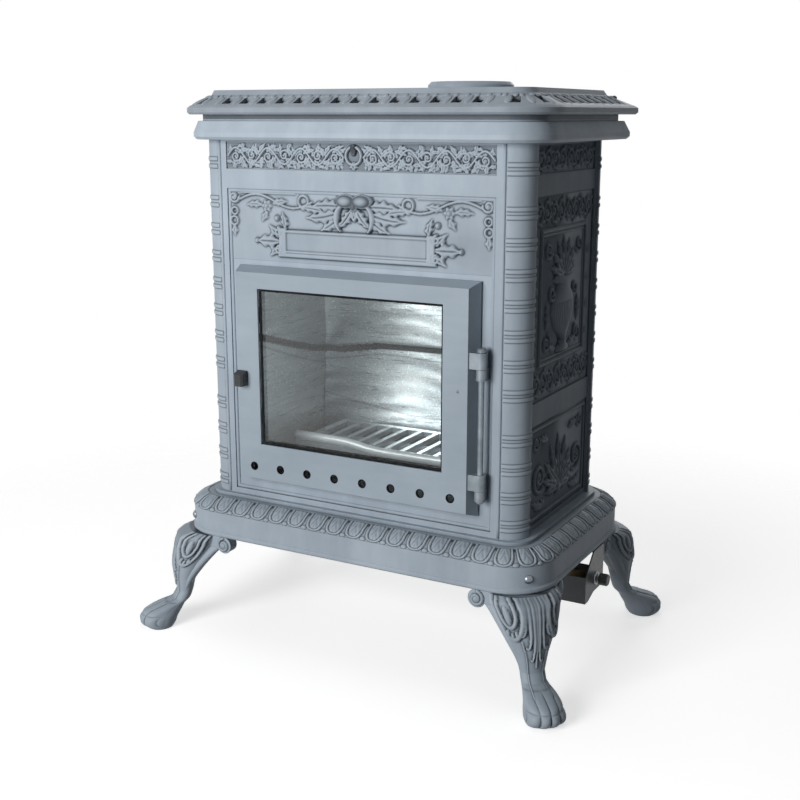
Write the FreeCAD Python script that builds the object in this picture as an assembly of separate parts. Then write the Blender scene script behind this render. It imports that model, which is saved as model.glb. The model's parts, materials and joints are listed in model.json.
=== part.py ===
import FreeCAD
import Part
import math
import os

V = FreeCAD.Vector

# Gas heater in the form of a cast-iron parlour stove.
# Millimetres. +Z is up, the front faces -Y, the origin is on the floor under the middle of the body.

# Clearances
running = 0.3             # shafts, pins and lids that move
loose = 0.5               # faces that pass each other
hole_room = 0.4           # round a bolt or screw shank
same = 0.01               # two places closer than this are one

# Body casting
body_half_width = 254.0   # to the face of a side plate
body_half_depth = 144.6   # to the face of the front and back plates
body_height = 531.0       # top of plinth to underside of cornice
plate = 8.0               # casting wall
column_radius = 30.0      # quarter-round corner column
column_proud = 5.0        # column beyond the side plate
column_lip = 12.0         # lap of the column behind the plates
column_lip_wall = 6.0
ring_low = 19.3           # first pair of beads above the plinth
ring_low_count = 4
ring_mid = 201.5          # first pair of the middle run
ring_mid_count = 7
ring_top = 498.2          # single pair under the cornice
ring_pitch = 40.15
bead_width = 4.3
bead_gap = 6.2
bead_proud = 1.4
bead_sides = 4

# Panels of the front plate
strip = 15.0              # plain bead strip beside each column
recess_depth = 3.6
recess_sill = 8.0
recess_height = 454.0
frieze_sill = 490.0
frieze_height = 38.0
frieze_depth = 2.4
side_margin = 5.0         # plain border of the side panels
side_low_sill = 8.0
side_low_height = 143.0
side_high_sill = 183.0
side_high_height = 279.0
side_recess = 2.4

# Relief of the side panels: a framed urn with leaves above, a fan of leaves below
relief_frame_side = 26.5  # from the edge of the panel
relief_frame_low = 47.9
relief_frame_high = 45.9
relief_frame_width = 3.2
relief_frame_proud = 2.0
# urn from foot to rim: rise above the frame's foot and half width
urn_profile = ((12.0, 20.0), (18.0, 21.0), (24.0, 9.0), (32.0, 8.0), (50.0, 30.0), (68.0, 39.0),
               (86.0, 36.0), (104.0, 22.0), (114.0, 31.0), (118.0, 32.0))
urn_edge = 1.5
urn_proud = 4.2
urn_core_width = 0.6      # thick middle, as a share of the outline
urn_core_length = 0.96
leaf_turns = (66.0, 42.0, 18.0)  # from level, beside the upright leaf
leaf_start = 8.0          # foot of a leaf from the root of its fan
leaf_width = 0.1          # half width as a share of the length
leaf_belly = 0.45         # widest place along the leaf
leaf_droop = 0.38         # length that a level leaf would lack
leaf_proud = 1.6
urn_leaf = 36.0
fan_leaf = 48.0
fan_rise = 36.0           # root of the lower fan above its panel's foot

# Plinth
leg_height = 156.0
plinth_side = 49.0        # overhang past the side plates
plinth_front = 42.4
plinth_corner = 70.0
lip_height = 9.0
lip_round = 2.5
fascia_height = 29.0
band_height = 19.0        # sloping ovolo under the body
band_run = 27.0
ovolo_steps = ((0.16, 0.3), (0.5, 0.68))  # share of the band's run and rise
fillet_height = 5.0
fillet_in = 8.0
plinth_wall = 8.0
deck = 8.0

# Legs, measured along the diagonal from the centre of the plinth corner
band_setback = 3.0        # bracket behind the plinth edge
bracket_depth = 16.0
bracket_height = 18.0
wing = 20.0               # bracket past the rounded corner
volute_radius = 12.5
volute_eye = 4.5
# sections from bracket to floor: share of leg height, inner and outer reach, half width
leg_profile = (
    (0.974, 23.0, 85.0, 46.0), (0.885, 27.0, 96.0, 43.0), (0.782, 37.0, 100.0, 38.0),
    (0.667, 53.0, 103.0, 32.0), (0.513, 71.0, 101.5, 22.0), (0.359, 77.0, 100.0, 17.0),
    (0.282, 82.0, 107.0, 17.0), (0.231, 90.0, 128.0, 20.0), (0.174, 95.0, 149.0, 23.0),
    (0.103, 102.0, 156.0, 26.0), (0.036, 106.0, 153.0, 25.0), (0.0, 110.0, 147.0, 22.0))
leg_sides = 20
paw_reach = 156.0
toe_groove = 2.4
toe_pitch = 12.0
toe_side_back = 3.5       # outer clefts start further back
toe_clear = 20.0
# foot of the cleft between two toes: reach and level
toe_cleft = ((124.0, 36.0), (146.0, 25.0), (153.0, 16.0), (150.0, 6.0), (143.0, -1.0))
lug_height = 32.0
lug_half_width = 14.0
lug_depth = 13.0

# Leg bolts
leg_bolt_radius = 4.0
leg_bolt_head = 6.5
leg_bolt_dome = 4.5
leg_bolt_rise = 21.0      # above the plinth underside
leg_nut = 6.5             # half width across flats
leg_nut_height = 6.5

# Cornice and lid
cornice_side = 29.0
cornice_front = 24.4
cornice_rear = 37.4
cornice_corner = 60.0
rear_corner = 10.0
cornice_height = 26.0
cornice_round = 4.0
cornice_band = 6.0
cornice_taper = 7.0
cornice_frame = 74.0      # width of the frame seen from above
cornice_frame_front = 45.9
cornice_frame_rear = 57.7
neck_height = 9.0
neck_in = 14.0
lid_out = 8.5             # lid past the cornice
lid_lip = 12.0
lid_round = 3.0
lid_band_in = 4.0
lid_band_run = 32.0
lid_band_rise = 15.0
lid_field_step = 7.0
lid_field_slope = 4.0
lid_wall = 6.0
lid_rim = 10.0
slot_pitch = 30.0
slot_width = 14.0
slot_length = 19.0
slot_from_band = 6.0
lid_foot_radius = 9.0     # cast feet on which the lid stands
lid_foot_in = 45.0        # from the edge of the cornice
lid_foot_y = 60.0

# Tie rods between plinth and cornice
tie_radius = 4.0
tie_in_side = 32.0        # from the face of a side plate
tie_in_front = 48.6
tie_nut = 6.5
tie_nut_height = 6.5
tie_end = 2.0

# Firebox of bright steel sheet
sheet = 1.5
firebox_side_gap = 42.0   # between side plate and liner
firebox_back_gap = 18.6
firebox_lift = 18.0
firebox_height = 364.0

# Flue way through the lid
flue_x = 79.0
flue_y = 58.0
flue_bore_radius = 56.2
flue_sleeve_wall = 3.2
flue_socket = 54.0
collar_radius = 62.5
collar_height = 12.0
collar_round = 4.5
flue_tube_wall = 1.5
flue_tube_lap = 4.0       # of the tube outside the collar's sleeve

# Burner
burner_radius = 14.0
burner_wall = 2.0
burner_left_gap = 54.0    # between liner and end of the tube
burner_right_gap = 74.0
burner_rise = 24.5
saddle_in_left = 40.0     # from the ends of the tube
saddle_in_right = 46.0
saddle_wall = 5.0
saddle_half_width = 17.0
injector = 12.0           # half size of the injector block
nozzle_radius = 5.0
nozzle_lap = 4.0
nozzle_space = 8.0

# Fire grate above the burner
grate_side_gap = 54.0     # between liner and grate, apart from its offset
grate_half_depth = 74.0
grate_x = -10.0
grate_y = 12.0
grate_rise = 52.0
grate_bar = 8.0
grate_rail = 12.0
grate_bars = 9

# Pilot
pilot_in = 18.0           # from the mouth of the burner
pilot_y = -6.0
pilot_step = 10.0
pilot_radius = 4.0
thermocouple_radius = 2.5
electrode_radius = 3.0
pilot_height = 34.0
pilot_plate_rise = 18.0
pilot_plate = 2.0
pilot_plate_half = 18.0
pilot_plate_depth = 9.0

# Gas control under the plinth
box_width = 43.0
box_front = 0.0
box_back = 75.0
box_sheet = 2.0
box_bottom = 84.0
box_front_top = 125.0
box_floor_front = 12.0
box_floor_back = 36.0
box_floor_rise = 8.0
box_wall_rise_y = 32.0
box_flange = 15.0
box_screw_radius = 2.0
box_screw_head = 3.0
box_screw_head_height = 2.0
box_screw_length = 9.0
box_screw_in = 6.5
box_screw_edge = 10.0
valve_y = 42.0
valve_z = 111.0
valve_half = 13.0
valve_half_depth = 15.0
valve_length = 74.0
bush_radius = 7.0
bush_length = 12.5
valve_nut = 9.5
valve_nut_height = 2.5
spindle_radius = 3.5
spindle_in = 9.0
spindle_out = 10.5
knob_radius = 9.0
knob_length = 13.0
knob_gap = 4.5
knob_travel = 4.0
knob_grip = 1.8
knob_grips = 6
knob_edge = 1.2
knob_plain = 3.25         # smooth skirt before the flutes
inlet_radius = 10.48      # half-inch pipe thread
inlet_length = 20.0
inlet_in = 13.0           # axis from the inner end of the tap body
inlet_bore = 7.0
pipe_radius = 5.0
pipe_bend = 25.0

# Door, a bevelled steel pan
door_side = 33.8          # plain plate between column and door
door_sill = 36.0          # front face above the plinth
door_height = 309.0
door_bevel = 7.7
door_depth = 23.3
door_sheet = 3.0
door_lip = 9.0
door_overlap = 10.0       # past the opening of the front plate
window_side = 37.5        # width of a door stile
window_sill = 54.0
window_height = 232.0
vent_count = 8
vent_in = 24.4            # first vent from the edge of the door face
vent_rise = 19.0
vent_radius = 5.5
seal_thickness = 3.0
seal_width = 5.5
seal_in = 2.0

# Door glass
glass_thickness = 4.0
glass_lap = 8.0
gasket_thickness = 2.0
gasket_in = 1.5
clip_width = 24.0
clip_over = 6.0
clip_base = 9.0
clip_sheet = 2.0
clip_from_edge = 40.0
clip_screw_radius = 2.0
clip_screw_head = 3.5
clip_screw_head_height = 2.0

# Door hinge
hinge_out = 7.8           # axis past the door edge
hinge_forward = 13.0      # axis in front of the door back
eye_radius = 8.0
eye_height = 22.0
eye_low = 34.0            # above the foot of the door face
eye_high = 202.0
collar_eye_radius = 7.5
collar_eye_height = 15.0
bracket_web = 10.0
hinge_pin_radius = 4.0
pin_below = 3.0
pin_head_radius = 6.5
pin_head_height = 6.0
pin_head_edge = 2.0

# Door latch
latch_in = 9.5            # axis inside the door face edge
latch_rise = 153.0
latch_spindle_radius = 4.0
latch_boss_radius = 7.0
latch_boss = 3.0
latch_grip_width = 16.0
latch_grip_height = 22.0
latch_grip_depth = 13.0
latch_grip_slope = 5.0
latch_grip_chamfer = 2.9
tongue_length = 18.0
tongue_width = 10.0
tongue_thickness = 5.0
peg_out = 6.0             # keeper peg past the door edge
peg_radius = 4.2
peg_length = 9.0
peg_edge = 1.4

# Levels and places that follow from the sizes above
plinth_height = lip_height + fascia_height + band_height + fillet_height
z_body = leg_height + plinth_height
z_cornice = z_body + body_height
z_neck = z_cornice + cornice_height
z_lid = z_neck + neck_height
z_lid_top = z_lid + lid_lip + lid_band_rise + lid_field_step
plate_back = body_half_depth - plate
tie_x = body_half_width - tie_in_side
tie_y = body_half_depth - tie_in_front
firebox_half_width = body_half_width - plate - firebox_side_gap
firebox_back_y = plate_back - firebox_back_gap
burner_left = burner_left_gap - firebox_half_width
burner_right = firebox_half_width - burner_right_gap
saddle_left = burner_left + saddle_in_left
saddle_right = burner_right - saddle_in_right
grate_half_width = firebox_half_width - grate_side_gap
pilot_x = burner_right - pilot_in
front_ground = -body_half_depth + recess_depth
column_x = body_half_width + column_proud - column_radius
column_y = body_half_depth - column_radius
plinth_half_width = body_half_width + plinth_side
plinth_half_depth = body_half_depth + plinth_front
corner_x = plinth_half_width - plinth_corner
corner_y = plinth_half_depth - plinth_corner
cornice_half_width = body_half_width + cornice_side
lid_foot_x = cornice_half_width - lid_foot_in
cornice_front_y = -body_half_depth - cornice_front
cornice_rear_y = body_half_depth + cornice_rear
z_floor = z_body + firebox_lift
z_hood = z_floor + firebox_height
z_burner = z_floor + sheet + burner_rise
door_back = front_ground - seal_thickness
door_front = door_back - door_depth
door_foot = z_body + door_sill
door_head = door_foot + door_height
door_edge = column_x - door_side
door_half_width = door_edge - door_bevel  # front face
window_half_width = door_half_width - window_side
vent_pitch = 2 * (door_half_width - vent_in) / (vent_count - 1)
window_foot = door_foot + window_sill
hinge_x = door_edge + hinge_out
hinge_y = door_back - hinge_forward
latch_x = -door_half_width + latch_in
latch_z = door_foot + latch_rise
box_right = plinth_half_width
box_left = box_right - box_width
pipe_up_x = burner_right + nozzle_space + injector
valve_right = box_right - box_sheet - (bush_length - box_sheet - valve_nut_height)
valve_left = valve_right - valve_length


def block(x0, x1, y0, y1, z0, z1):
    return Part.makeBox(x1 - x0, y1 - y0, z1 - z0, V(x0, y0, z0))


def rod(radius, start, end):
    return Part.makeCylinder(radius, (end - start).Length, start, end - start)


def hexagon(half_flats, height, base, axis):
    # six-sided prism that stands on base along axis
    size = half_flats / math.cos(math.radians(30))
    angles = [math.radians(60 * k) for k in range(7)]
    ring = [V(size * math.cos(a), size * math.sin(a), 0) for a in angles]
    prism = Part.Face(Part.makePolygon(ring)).extrude(V(0, 0, height))
    turn = FreeCAD.Rotation(V(0, 0, 1), axis)
    prism.Placement = FreeCAD.Placement(base, turn)
    return prism


def polygon_solid(points, direction):
    return Part.Face(Part.makePolygon(points + points[:1])).extrude(direction)


def rounded_plan(half_width, front, rear, front_radius, rear_radius, z):
    # closed rectangle seen from above with two front and two rear corner radii
    def corner(cx, cy, radius, start):
        angles = [math.radians(start + a) for a in (0, 45, 90)]
        return [V(cx + radius * math.cos(a), cy + radius * math.sin(a), z) for a in angles]
    arcs = [corner(half_width - front_radius, front + front_radius, front_radius, 270),
            corner(half_width - rear_radius, rear - rear_radius, rear_radius, 0),
            corner(-half_width + rear_radius, rear - rear_radius, rear_radius, 90),
            corner(-half_width + front_radius, front + front_radius, front_radius, 180)]
    edges = []
    for k, arc in enumerate(arcs):
        edges.append(Part.makeLine(arcs[k - 1][2], arc[0]))
        edges.append(Part.Arc(*arc).toShape())
    return Part.Wire(edges)


def plinth_plan(inset, z):
    radius = plinth_corner - inset
    half_depth = plinth_half_depth - inset
    return rounded_plan(plinth_half_width - inset, -half_depth, half_depth, radius, radius, z)


def top_plan(out, corner, inset, z):
    # plan of the cornice (out = 0) or of the wider lid, stepped in by inset
    half_width = cornice_half_width + out - inset
    front = cornice_front_y - out + inset
    rear = cornice_rear_y + out - inset
    return rounded_plan(half_width, front, rear, corner - inset, rear_corner, z)


def moulding(plan, profile):
    # straight-sided lofts through plans, one for each step (inset, level), with a ledge where a level repeats
    runs = [[profile[0]]]
    for step in profile[1:]:
        if step[1] == runs[-1][-1][1]:
            runs.append([])
        runs[-1].append(step)
    lofts = [Part.makeLoft([plan(inset, z) for inset, z in run], True, True) for run in runs]
    return lofts[0].multiFuse(lofts[1:]).removeSplitter() if lofts[1:] else lofts[0]


def at_corner(shape, side, end):
    # carries a part built round the front right plinth corner to any of the four corners
    if side < 0:
        shape = shape.mirror(V(0, 0, 0), V(1, 0, 0))
    if end > 0:
        shape = shape.mirror(V(0, 0, 0), V(0, 1, 0))
    shape.translate(V(side * corner_x, end * corner_y, 0))
    return shape


def diagonal(shape):
    # turns a part built along +X onto the diagonal of the front right corner
    shape.rotate(V(0, 0, 0), V(0, 0, 1), -45)
    return shape


corners = [("front_left", -1, -1), ("front_right", 1, -1), ("rear_left", -1, 1), ("rear_right", 1, 1)]


def plinth():
    low = leg_height + lip_height
    high = low + fascia_height
    top = high + band_height
    face = lip_round
    outer = moulding(plinth_plan, [
        (lip_round, leg_height), (0, leg_height + lip_round), (0, low - face), (face, low), (face, high),
        *[(band_run * run, high + band_height * rise) for run, rise in ovolo_steps],
        (band_run, top), (band_run + fillet_in, top), (band_run + fillet_in, z_body)])
    hollow = moulding(plinth_plan, [(face + plinth_wall, leg_height), (face + plinth_wall, high)])
    upper = moulding(plinth_plan, [(band_run + plinth_wall, high), (band_run + plinth_wall, z_body - deck)])
    shape = outer.cut(hollow).cut(upper)
    drills = [rod(tie_radius + hole_room, V(side * tie_x, end * tie_y, z_body - 2 * deck),
                  V(side * tie_x, end * tie_y, z_body + deck)) for name, side, end in corners]
    bolt = diagonal(rod(leg_bolt_radius + hole_room, V(plinth_corner - 3 * plinth_wall, 0, bolt_level()),
                        V(plinth_corner + plinth_wall, 0, bolt_level())))
    drills += [at_corner(bolt.copy(), side, end) for name, side, end in corners]
    pipe_low = V(pipe_up_x, valve_y, z_body - 2 * deck)
    drills.append(rod(pipe_radius + loose, pipe_low, pipe_low + V(0, 0, 3 * deck)))
    drills += [rod(box_screw_radius, p, p + V(0, 0, box_screw_length)) for p in box_screw_points()]
    return shape.cut(Part.makeCompound(drills))


def bolt_level():
    return leg_height + leg_bolt_rise


def leg_section(z, inner, outer, half_width):
    # many-sided oval across the leg at one level
    middle = (inner + outer) / 2
    half = (outer - inner) / 2
    angles = [2 * math.pi * k / leg_sides for k in range(leg_sides)]
    points = [V(middle + half * math.cos(a), half_width * math.sin(a), z) for a in angles]
    return Part.makePolygon(points + points[:1])


def leg_shaft():
    # cabriole leg: broad knee, slim ankle and a paw that turns out on the floor
    sections = [leg_section(share * leg_height, *reach) for share, *reach in leg_profile]
    return Part.makeLoft(sections, True, True)


def leg_bracket():
    # rounded bracket under the plinth corner that ends in a volute on each face
    outer = plinth_corner - band_setback
    inner = outer - bracket_depth
    turn = [math.radians(a) for a in (-90, -45, 0)]
    near = [V(outer * math.cos(a), outer * math.sin(a), 0) for a in turn]
    far = [V(inner * math.cos(a), inner * math.sin(a), 0) for a in reversed(turn)]
    ends = [V(-wing, -outer, 0), near[0], near[2], V(outer, wing, 0), V(inner, wing, 0),
            far[0], far[2], V(-wing, -inner, 0)]
    edges = [Part.makeLine(ends[0], ends[1]), Part.Arc(*near).toShape(), Part.makeLine(ends[2], ends[3]),
             Part.makeLine(ends[3], ends[4]), Part.makeLine(ends[4], ends[5]), Part.Arc(*far).toShape(),
             Part.makeLine(ends[6], ends[7]), Part.makeLine(ends[7], ends[0])]
    band = Part.Face(Part.Wire(edges)).extrude(V(0, 0, bracket_height))
    band.translate(V(0, 0, leg_height - bracket_height))
    level = leg_height - volute_radius
    parts = [band]
    for radius, proud in ((volute_radius, 0), (volute_eye, band_setback / 2)):
        parts.append(rod(radius, V(-wing, -inner, level), V(-wing, -outer - proud, level)))
        parts.append(rod(radius, V(inner, wing, level), V(outer + proud, wing, level)))
    return parts


def leg():
    wall = plinth_corner - lip_round - plinth_wall - running
    lug = block(wall - lug_depth, wall, -lug_half_width, lug_half_width, leg_height - bracket_height,
                leg_height + lug_height)
    lug = lug.common(Part.makeCylinder(wall, leg_height + 2 * lug_height))
    shaft = leg_shaft().fuse(lug)
    far = paw_reach + toe_clear
    near, high = toe_cleft[0][0], toe_cleft[0][1] + toe_clear
    rim = [(far, toe_cleft[-1][1]), (far, high), (near, high)]
    grooves = []
    for place in (-toe_pitch, 0, toe_pitch):
        back = toe_side_back if place else 0
        cleft = [V(x - back, place - toe_groove / 2, z) for x, z in list(toe_cleft) + rim]
        grooves.append(polygon_solid(cleft, V(0, toe_groove, 0)))
    hole = rod(leg_bolt_radius + hole_room, V(0, 0, bolt_level()), V(plinth_corner, 0, bolt_level()))
    shaft = diagonal(shaft.cut(Part.makeCompound(grooves + [hole])))
    return shaft.multiFuse(leg_bracket()).removeSplitter()


def leg_bolt():
    seat = plinth_corner - lip_round
    back = seat - plinth_wall - running - lug_depth
    tip = back - leg_nut_height - tie_end
    shank = rod(leg_bolt_radius, V(tip, 0, bolt_level()), V(seat, 0, bolt_level()))
    ball = (leg_bolt_head ** 2 + leg_bolt_dome ** 2) / (2 * leg_bolt_dome)
    head = Part.makeSphere(ball, V(seat + leg_bolt_dome - ball, 0, bolt_level()))
    head = head.common(block(seat, seat + ball, -ball, ball, bolt_level() - ball, bolt_level() + ball))
    return diagonal(shank.fuse(head))


def leg_nut_solid():
    back = plinth_corner - lip_round - plinth_wall - running - lug_depth
    nut = hexagon(leg_nut, leg_nut_height, V(back, 0, bolt_level()), V(-1, 0, 0))
    bore = rod(leg_bolt_radius + running, V(back - 2 * leg_nut_height, 0, bolt_level()),
               V(back + 1, 0, bolt_level()))
    return diagonal(nut.cut(bore))


def front_plate():
    shape = block(-column_x, column_x, -body_half_depth, -plate_back, z_body, z_cornice)
    half = column_x - strip
    recess = block(-half, half, -body_half_depth - 1, front_ground, z_body + recess_sill,
                   z_body + recess_sill + recess_height)
    frieze = block(-half, half, -body_half_depth - 1, -body_half_depth + frieze_depth, z_body + frieze_sill,
                   z_body + frieze_sill + frieze_height)
    wide = door_edge - door_overlap
    opening = block(-wide, wide, -body_half_depth - 1, -plate_back + 1, door_foot - door_bevel + door_overlap,
                    door_head + door_bevel - door_overlap)
    peg = rod(peg_radius + running / 2, peg_base(), peg_base() + V(0, plate / 2, 0))
    return shape.cut(Part.makeCompound([recess, frieze])).cut(opening).cut(peg)


def peg_base():
    return V(-door_edge - peg_out, front_ground, latch_z)


def raised(outline, proud):
    # flat relief on the ground of the right side panel; the outline is (y, z) points
    ground = body_half_width - side_recess
    return polygon_solid([V(ground, y, z) for y, z in outline], V(proud, 0, 0))


def relief_leaf(root_z, turn, length):
    # pointed leaf of a fan that spreads from the middle of the panel
    a = math.radians(turn)
    reach = length * (1 - leaf_droop + leaf_droop * math.sin(a))
    belly = leaf_start + leaf_belly * (reach - leaf_start)
    wide = leaf_width * reach
    outline = []
    for along, aside in ((leaf_start, 0), (belly, wide), (reach, 0), (belly, -wide)):
        y = along * math.cos(a) - aside * math.sin(a)
        outline.append((y, root_z + along * math.sin(a) + aside * math.cos(a)))
    return raised(outline, leaf_proud)


def urn(foot):
    # vase with a thicker belly, even about the middle of the panel
    middle = foot + (urn_profile[0][0] + urn_profile[-1][0]) / 2
    outline = [(half, foot + rise) for rise, half in urn_profile]
    outline += [(-y, z) for y, z in reversed(outline)]
    core = [(y * urn_core_width, middle + (z - middle) * urn_core_length) for y, z in outline]
    return [raised(outline, urn_edge), raised(core, urn_proud)]


def side_relief():
    ground = body_half_width - side_recess
    half = column_y - side_margin - relief_frame_side
    foot = z_body + side_high_sill + relief_frame_low
    head = z_body + side_high_sill + side_high_height - relief_frame_high
    inner = half - relief_frame_width
    frame = block(ground, ground + relief_frame_proud, -half, half, foot, head)
    frame = frame.cut(block(ground - 1, body_half_width + plate, -inner, inner, foot + relief_frame_width,
                            head - relief_frame_width))
    fans = ((foot + urn_profile[-1][0], urn_leaf), (z_body + side_low_sill + fan_rise, fan_leaf))
    turns = [90.0] + [t for turn in leaf_turns for t in (turn, 180 - turn)]
    leaves = [relief_leaf(root, turn, length) for root, length in fans for turn in turns]
    return [frame] + urn(foot) + leaves


def side_plate(side):
    shape = block(body_half_width - plate, body_half_width, -column_y, column_y, z_body, z_cornice)
    half = column_y - side_margin
    pockets = []
    for sill, height in ((side_low_sill, side_low_height), (side_high_sill, side_high_height),
                         (frieze_sill, frieze_height)):
        pockets.append(block(body_half_width - side_recess, body_half_width + 1, -half, half, z_body + sill,
                             z_body + sill + height))
    shape = shape.cut(Part.makeCompound(pockets)).multiFuse(side_relief()).removeSplitter()
    return shape if side > 0 else shape.mirror(V(0, 0, 0), V(1, 0, 0))


def back_plate():
    shape = block(-column_x, column_x, plate_back, body_half_depth, z_body, z_cornice)
    half = column_x - strip
    field = block(-half, half, body_half_depth - recess_depth, body_half_depth + 1,
                  z_body + strip, z_cornice - strip)
    return shape.cut(field)


def column(side, end):
    # quarter-round pillar with lips that lap behind the two plates it joins
    middle = math.sqrt(0.5) * column_radius
    lip_x = body_half_width - plate
    lip_y = -plate_back
    arc = Part.Arc(V(column_x, -body_half_depth, z_body), V(column_x + middle, -column_y - middle, z_body),
                   V(column_x + column_radius, -column_y, z_body)).toShape()
    points = [V(column_x + column_radius, -column_y, z_body), V(lip_x, -column_y, z_body),
              V(lip_x, -column_y + column_lip, z_body),
              V(lip_x - column_lip_wall, -column_y + column_lip, z_body),
              V(lip_x - column_lip_wall, lip_y + column_lip_wall, z_body),
              V(column_x - column_lip, lip_y + column_lip_wall, z_body),
              V(column_x - column_lip, lip_y, z_body),
              V(column_x, lip_y, z_body), V(column_x, -body_half_depth, z_body)]
    section = Part.Wire([arc] + Part.makePolygon(points).Edges)
    shape = Part.Face(section).extrude(V(0, 0, body_height))
    levels = [ring_low + k * ring_pitch for k in range(ring_low_count)]
    levels += [ring_mid + k * ring_pitch for k in range(ring_mid_count)] + [ring_top]
    edge = column_radius + bead_proud
    angles = [math.radians(-90 + 90 * k / bead_sides) for k in range(bead_sides + 1)]
    ring = [V(column_x, -column_y, 0)] + [V(column_x + edge * math.cos(a), -column_y + edge * math.sin(a), 0)
                                          for a in angles]
    beads = []
    for level in levels:
        for step in (-1, 1):
            low = z_body + level + step * (bead_gap + bead_width) / 2 - bead_width / 2
            beads.append(polygon_solid([p + V(0, 0, low) for p in ring], V(0, 0, bead_width)))
    shape = shape.multiFuse(beads).removeSplitter()
    if side < 0:
        shape = shape.mirror(V(0, 0, 0), V(1, 0, 0))
    return shape if end < 0 else shape.mirror(V(0, 0, 0), V(0, 1, 0))


def cornice():
    def plan(inset, z):
        return top_plan(0, cornice_corner, inset, z)
    outer = moulding(plan, [(cornice_round, z_cornice), (0, z_cornice + cornice_round),
                            (0, z_cornice + cornice_round + cornice_band), (cornice_taper, z_neck),
                            (neck_in, z_neck), (neck_in, z_lid)])
    half = cornice_half_width - cornice_frame
    open_front = cornice_front_y + cornice_frame_front
    open_rear = cornice_rear_y - cornice_frame_rear
    window = block(-half, half, open_front, open_rear, z_cornice - 1, z_lid + 1)
    drills = [rod(tie_radius + hole_room, V(side * tie_x, end * tie_y, z_cornice - 1),
                  V(side * tie_x, end * tie_y, z_lid + 1)) for name, side, end in corners]
    return outer.cut(window).cut(Part.makeCompound(drills))


def lid_plan(inset, z):
    return top_plan(lid_out, cornice_corner + lid_out, inset, z)


def slot_cutters():
    # one upright cutter for each opening of the pierced border, square to the edge it lies in
    low = z_lid + lid_lip / 2
    high = z_lid_top + 1
    start = lid_band_in + slot_from_band
    half_width = cornice_half_width + lid_out
    front = cornice_front_y - lid_out
    rear = cornice_rear_y + lid_out
    radius = cornice_corner + lid_out
    cutters = []

    def add(edge_x, edge_y, inward):
        tool = block(start, start + slot_length, -slot_width / 2, slot_width / 2, low, high)
        tool.rotate(V(0, 0, 0), V(0, 0, 1), inward)
        tool.translate(V(edge_x, edge_y, 0))
        cutters.append(tool)

    def places(first, last):
        count = int((last - first) / slot_pitch)
        middle = (first + last) / 2
        return [middle + (k - (count - 1) / 2) * slot_pitch for k in range(count)]

    for x in places(radius - half_width, half_width - radius):
        add(x, front, 90)
    for x in places(-half_width + lid_band_run, half_width - lid_band_run):
        add(x, rear, 270)
    for y in places(front + radius, rear - lid_band_run):
        add(half_width, y, 180)
        add(-half_width, y, 0)
    for turn in (22.5, 67.5):
        for side in (-1, 1):
            angle = math.radians(turn)
            x = side * (half_width - radius + radius * math.sin(angle))
            y = front + radius - radius * math.cos(angle)
            add(x, y, 90 + side * turn)
    return cutters


def lid():
    lip_top = z_lid + lid_lip
    band_end = lid_band_in + lid_band_run
    field = lip_top + lid_band_rise
    outer = moulding(lid_plan, [(lid_round, z_lid), (0, z_lid + lid_round), (0, lip_top - lid_round),
                                (lid_band_in, lip_top), (band_end, field),
                                (band_end + lid_field_slope, z_lid_top)])
    under = lip_top - lid_wall + lid_rim * lid_band_rise / lid_band_run
    hollow = moulding(lid_plan, [(lid_rim, z_lid), (lid_rim, under - lid_wall / 2),
                                 (band_end + lid_wall, field - lid_wall / 2),
                                 (band_end + lid_wall, z_lid_top - lid_wall)])
    sleeve = flue_bore_radius + flue_sleeve_wall + loose
    hole = rod(sleeve, V(flue_x, flue_y, z_lid), V(flue_x, flue_y, z_lid_top + 1))
    feet = [rod(lid_foot_radius, V(side * lid_foot_x, end * lid_foot_y, z_lid),
                V(side * lid_foot_x, end * lid_foot_y, z_lid_top - lid_wall)) for name, side, end in corners]
    shell = outer.cut(hollow).cut(Part.makeCompound(slot_cutters())).cut(hole)
    return shell.multiFuse(feet).removeSplitter()


def tie_rods():
    low = z_body - deck - tie_nut_height - tie_end
    high = z_lid + tie_nut_height + tie_end
    return [rod(tie_radius, V(side * tie_x, end * tie_y, low), V(side * tie_x, end * tie_y, high))
            for name, side, end in corners]


def tie_nuts():
    nuts = []
    for name, side, end in corners:
        for base, up in ((z_body - deck, -1), (z_lid, 1)):
            nut = hexagon(tie_nut, tie_nut_height, V(side * tie_x, end * tie_y, base), V(0, 0, up))
            bore = rod(tie_radius + running, V(side * tie_x, end * tie_y, base - tie_nut_height - 1),
                       V(side * tie_x, end * tie_y, base + tie_nut_height + 1))
            nuts.append(nut.cut(bore))
    return nuts


def firebox_floor():
    # upturned tray that stands on the plinth deck
    half = firebox_half_width
    tray = block(-half, half, -plate_back, firebox_back_y, z_body, z_floor + sheet)
    under = block(-half + sheet, half - sheet, -plate_back + sheet, firebox_back_y - sheet, z_body, z_floor)
    hole = rod(pipe_radius + loose, V(pipe_up_x, valve_y, z_body), V(pipe_up_x, valve_y, z_floor + 2 * sheet))
    return tray.cut(under).cut(hole)


def firebox_side(side):
    wall = block(firebox_half_width, firebox_half_width + sheet, -plate_back, firebox_back_y, z_body, z_hood)
    return wall if side > 0 else wall.mirror(V(0, 0, 0), V(1, 0, 0))


def firebox_back():
    half = firebox_half_width + sheet
    return block(-half, half, firebox_back_y, firebox_back_y + sheet, z_body, z_hood)


def firebox_hood():
    half = firebox_half_width + sheet
    cover = block(-half, half, -plate_back, firebox_back_y + sheet, z_hood, z_hood + sheet)
    low = V(flue_x, flue_y, z_hood - 1)
    return cover.cut(rod(flue_bore_radius, low, low + V(0, 0, 4 * sheet)))


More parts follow.
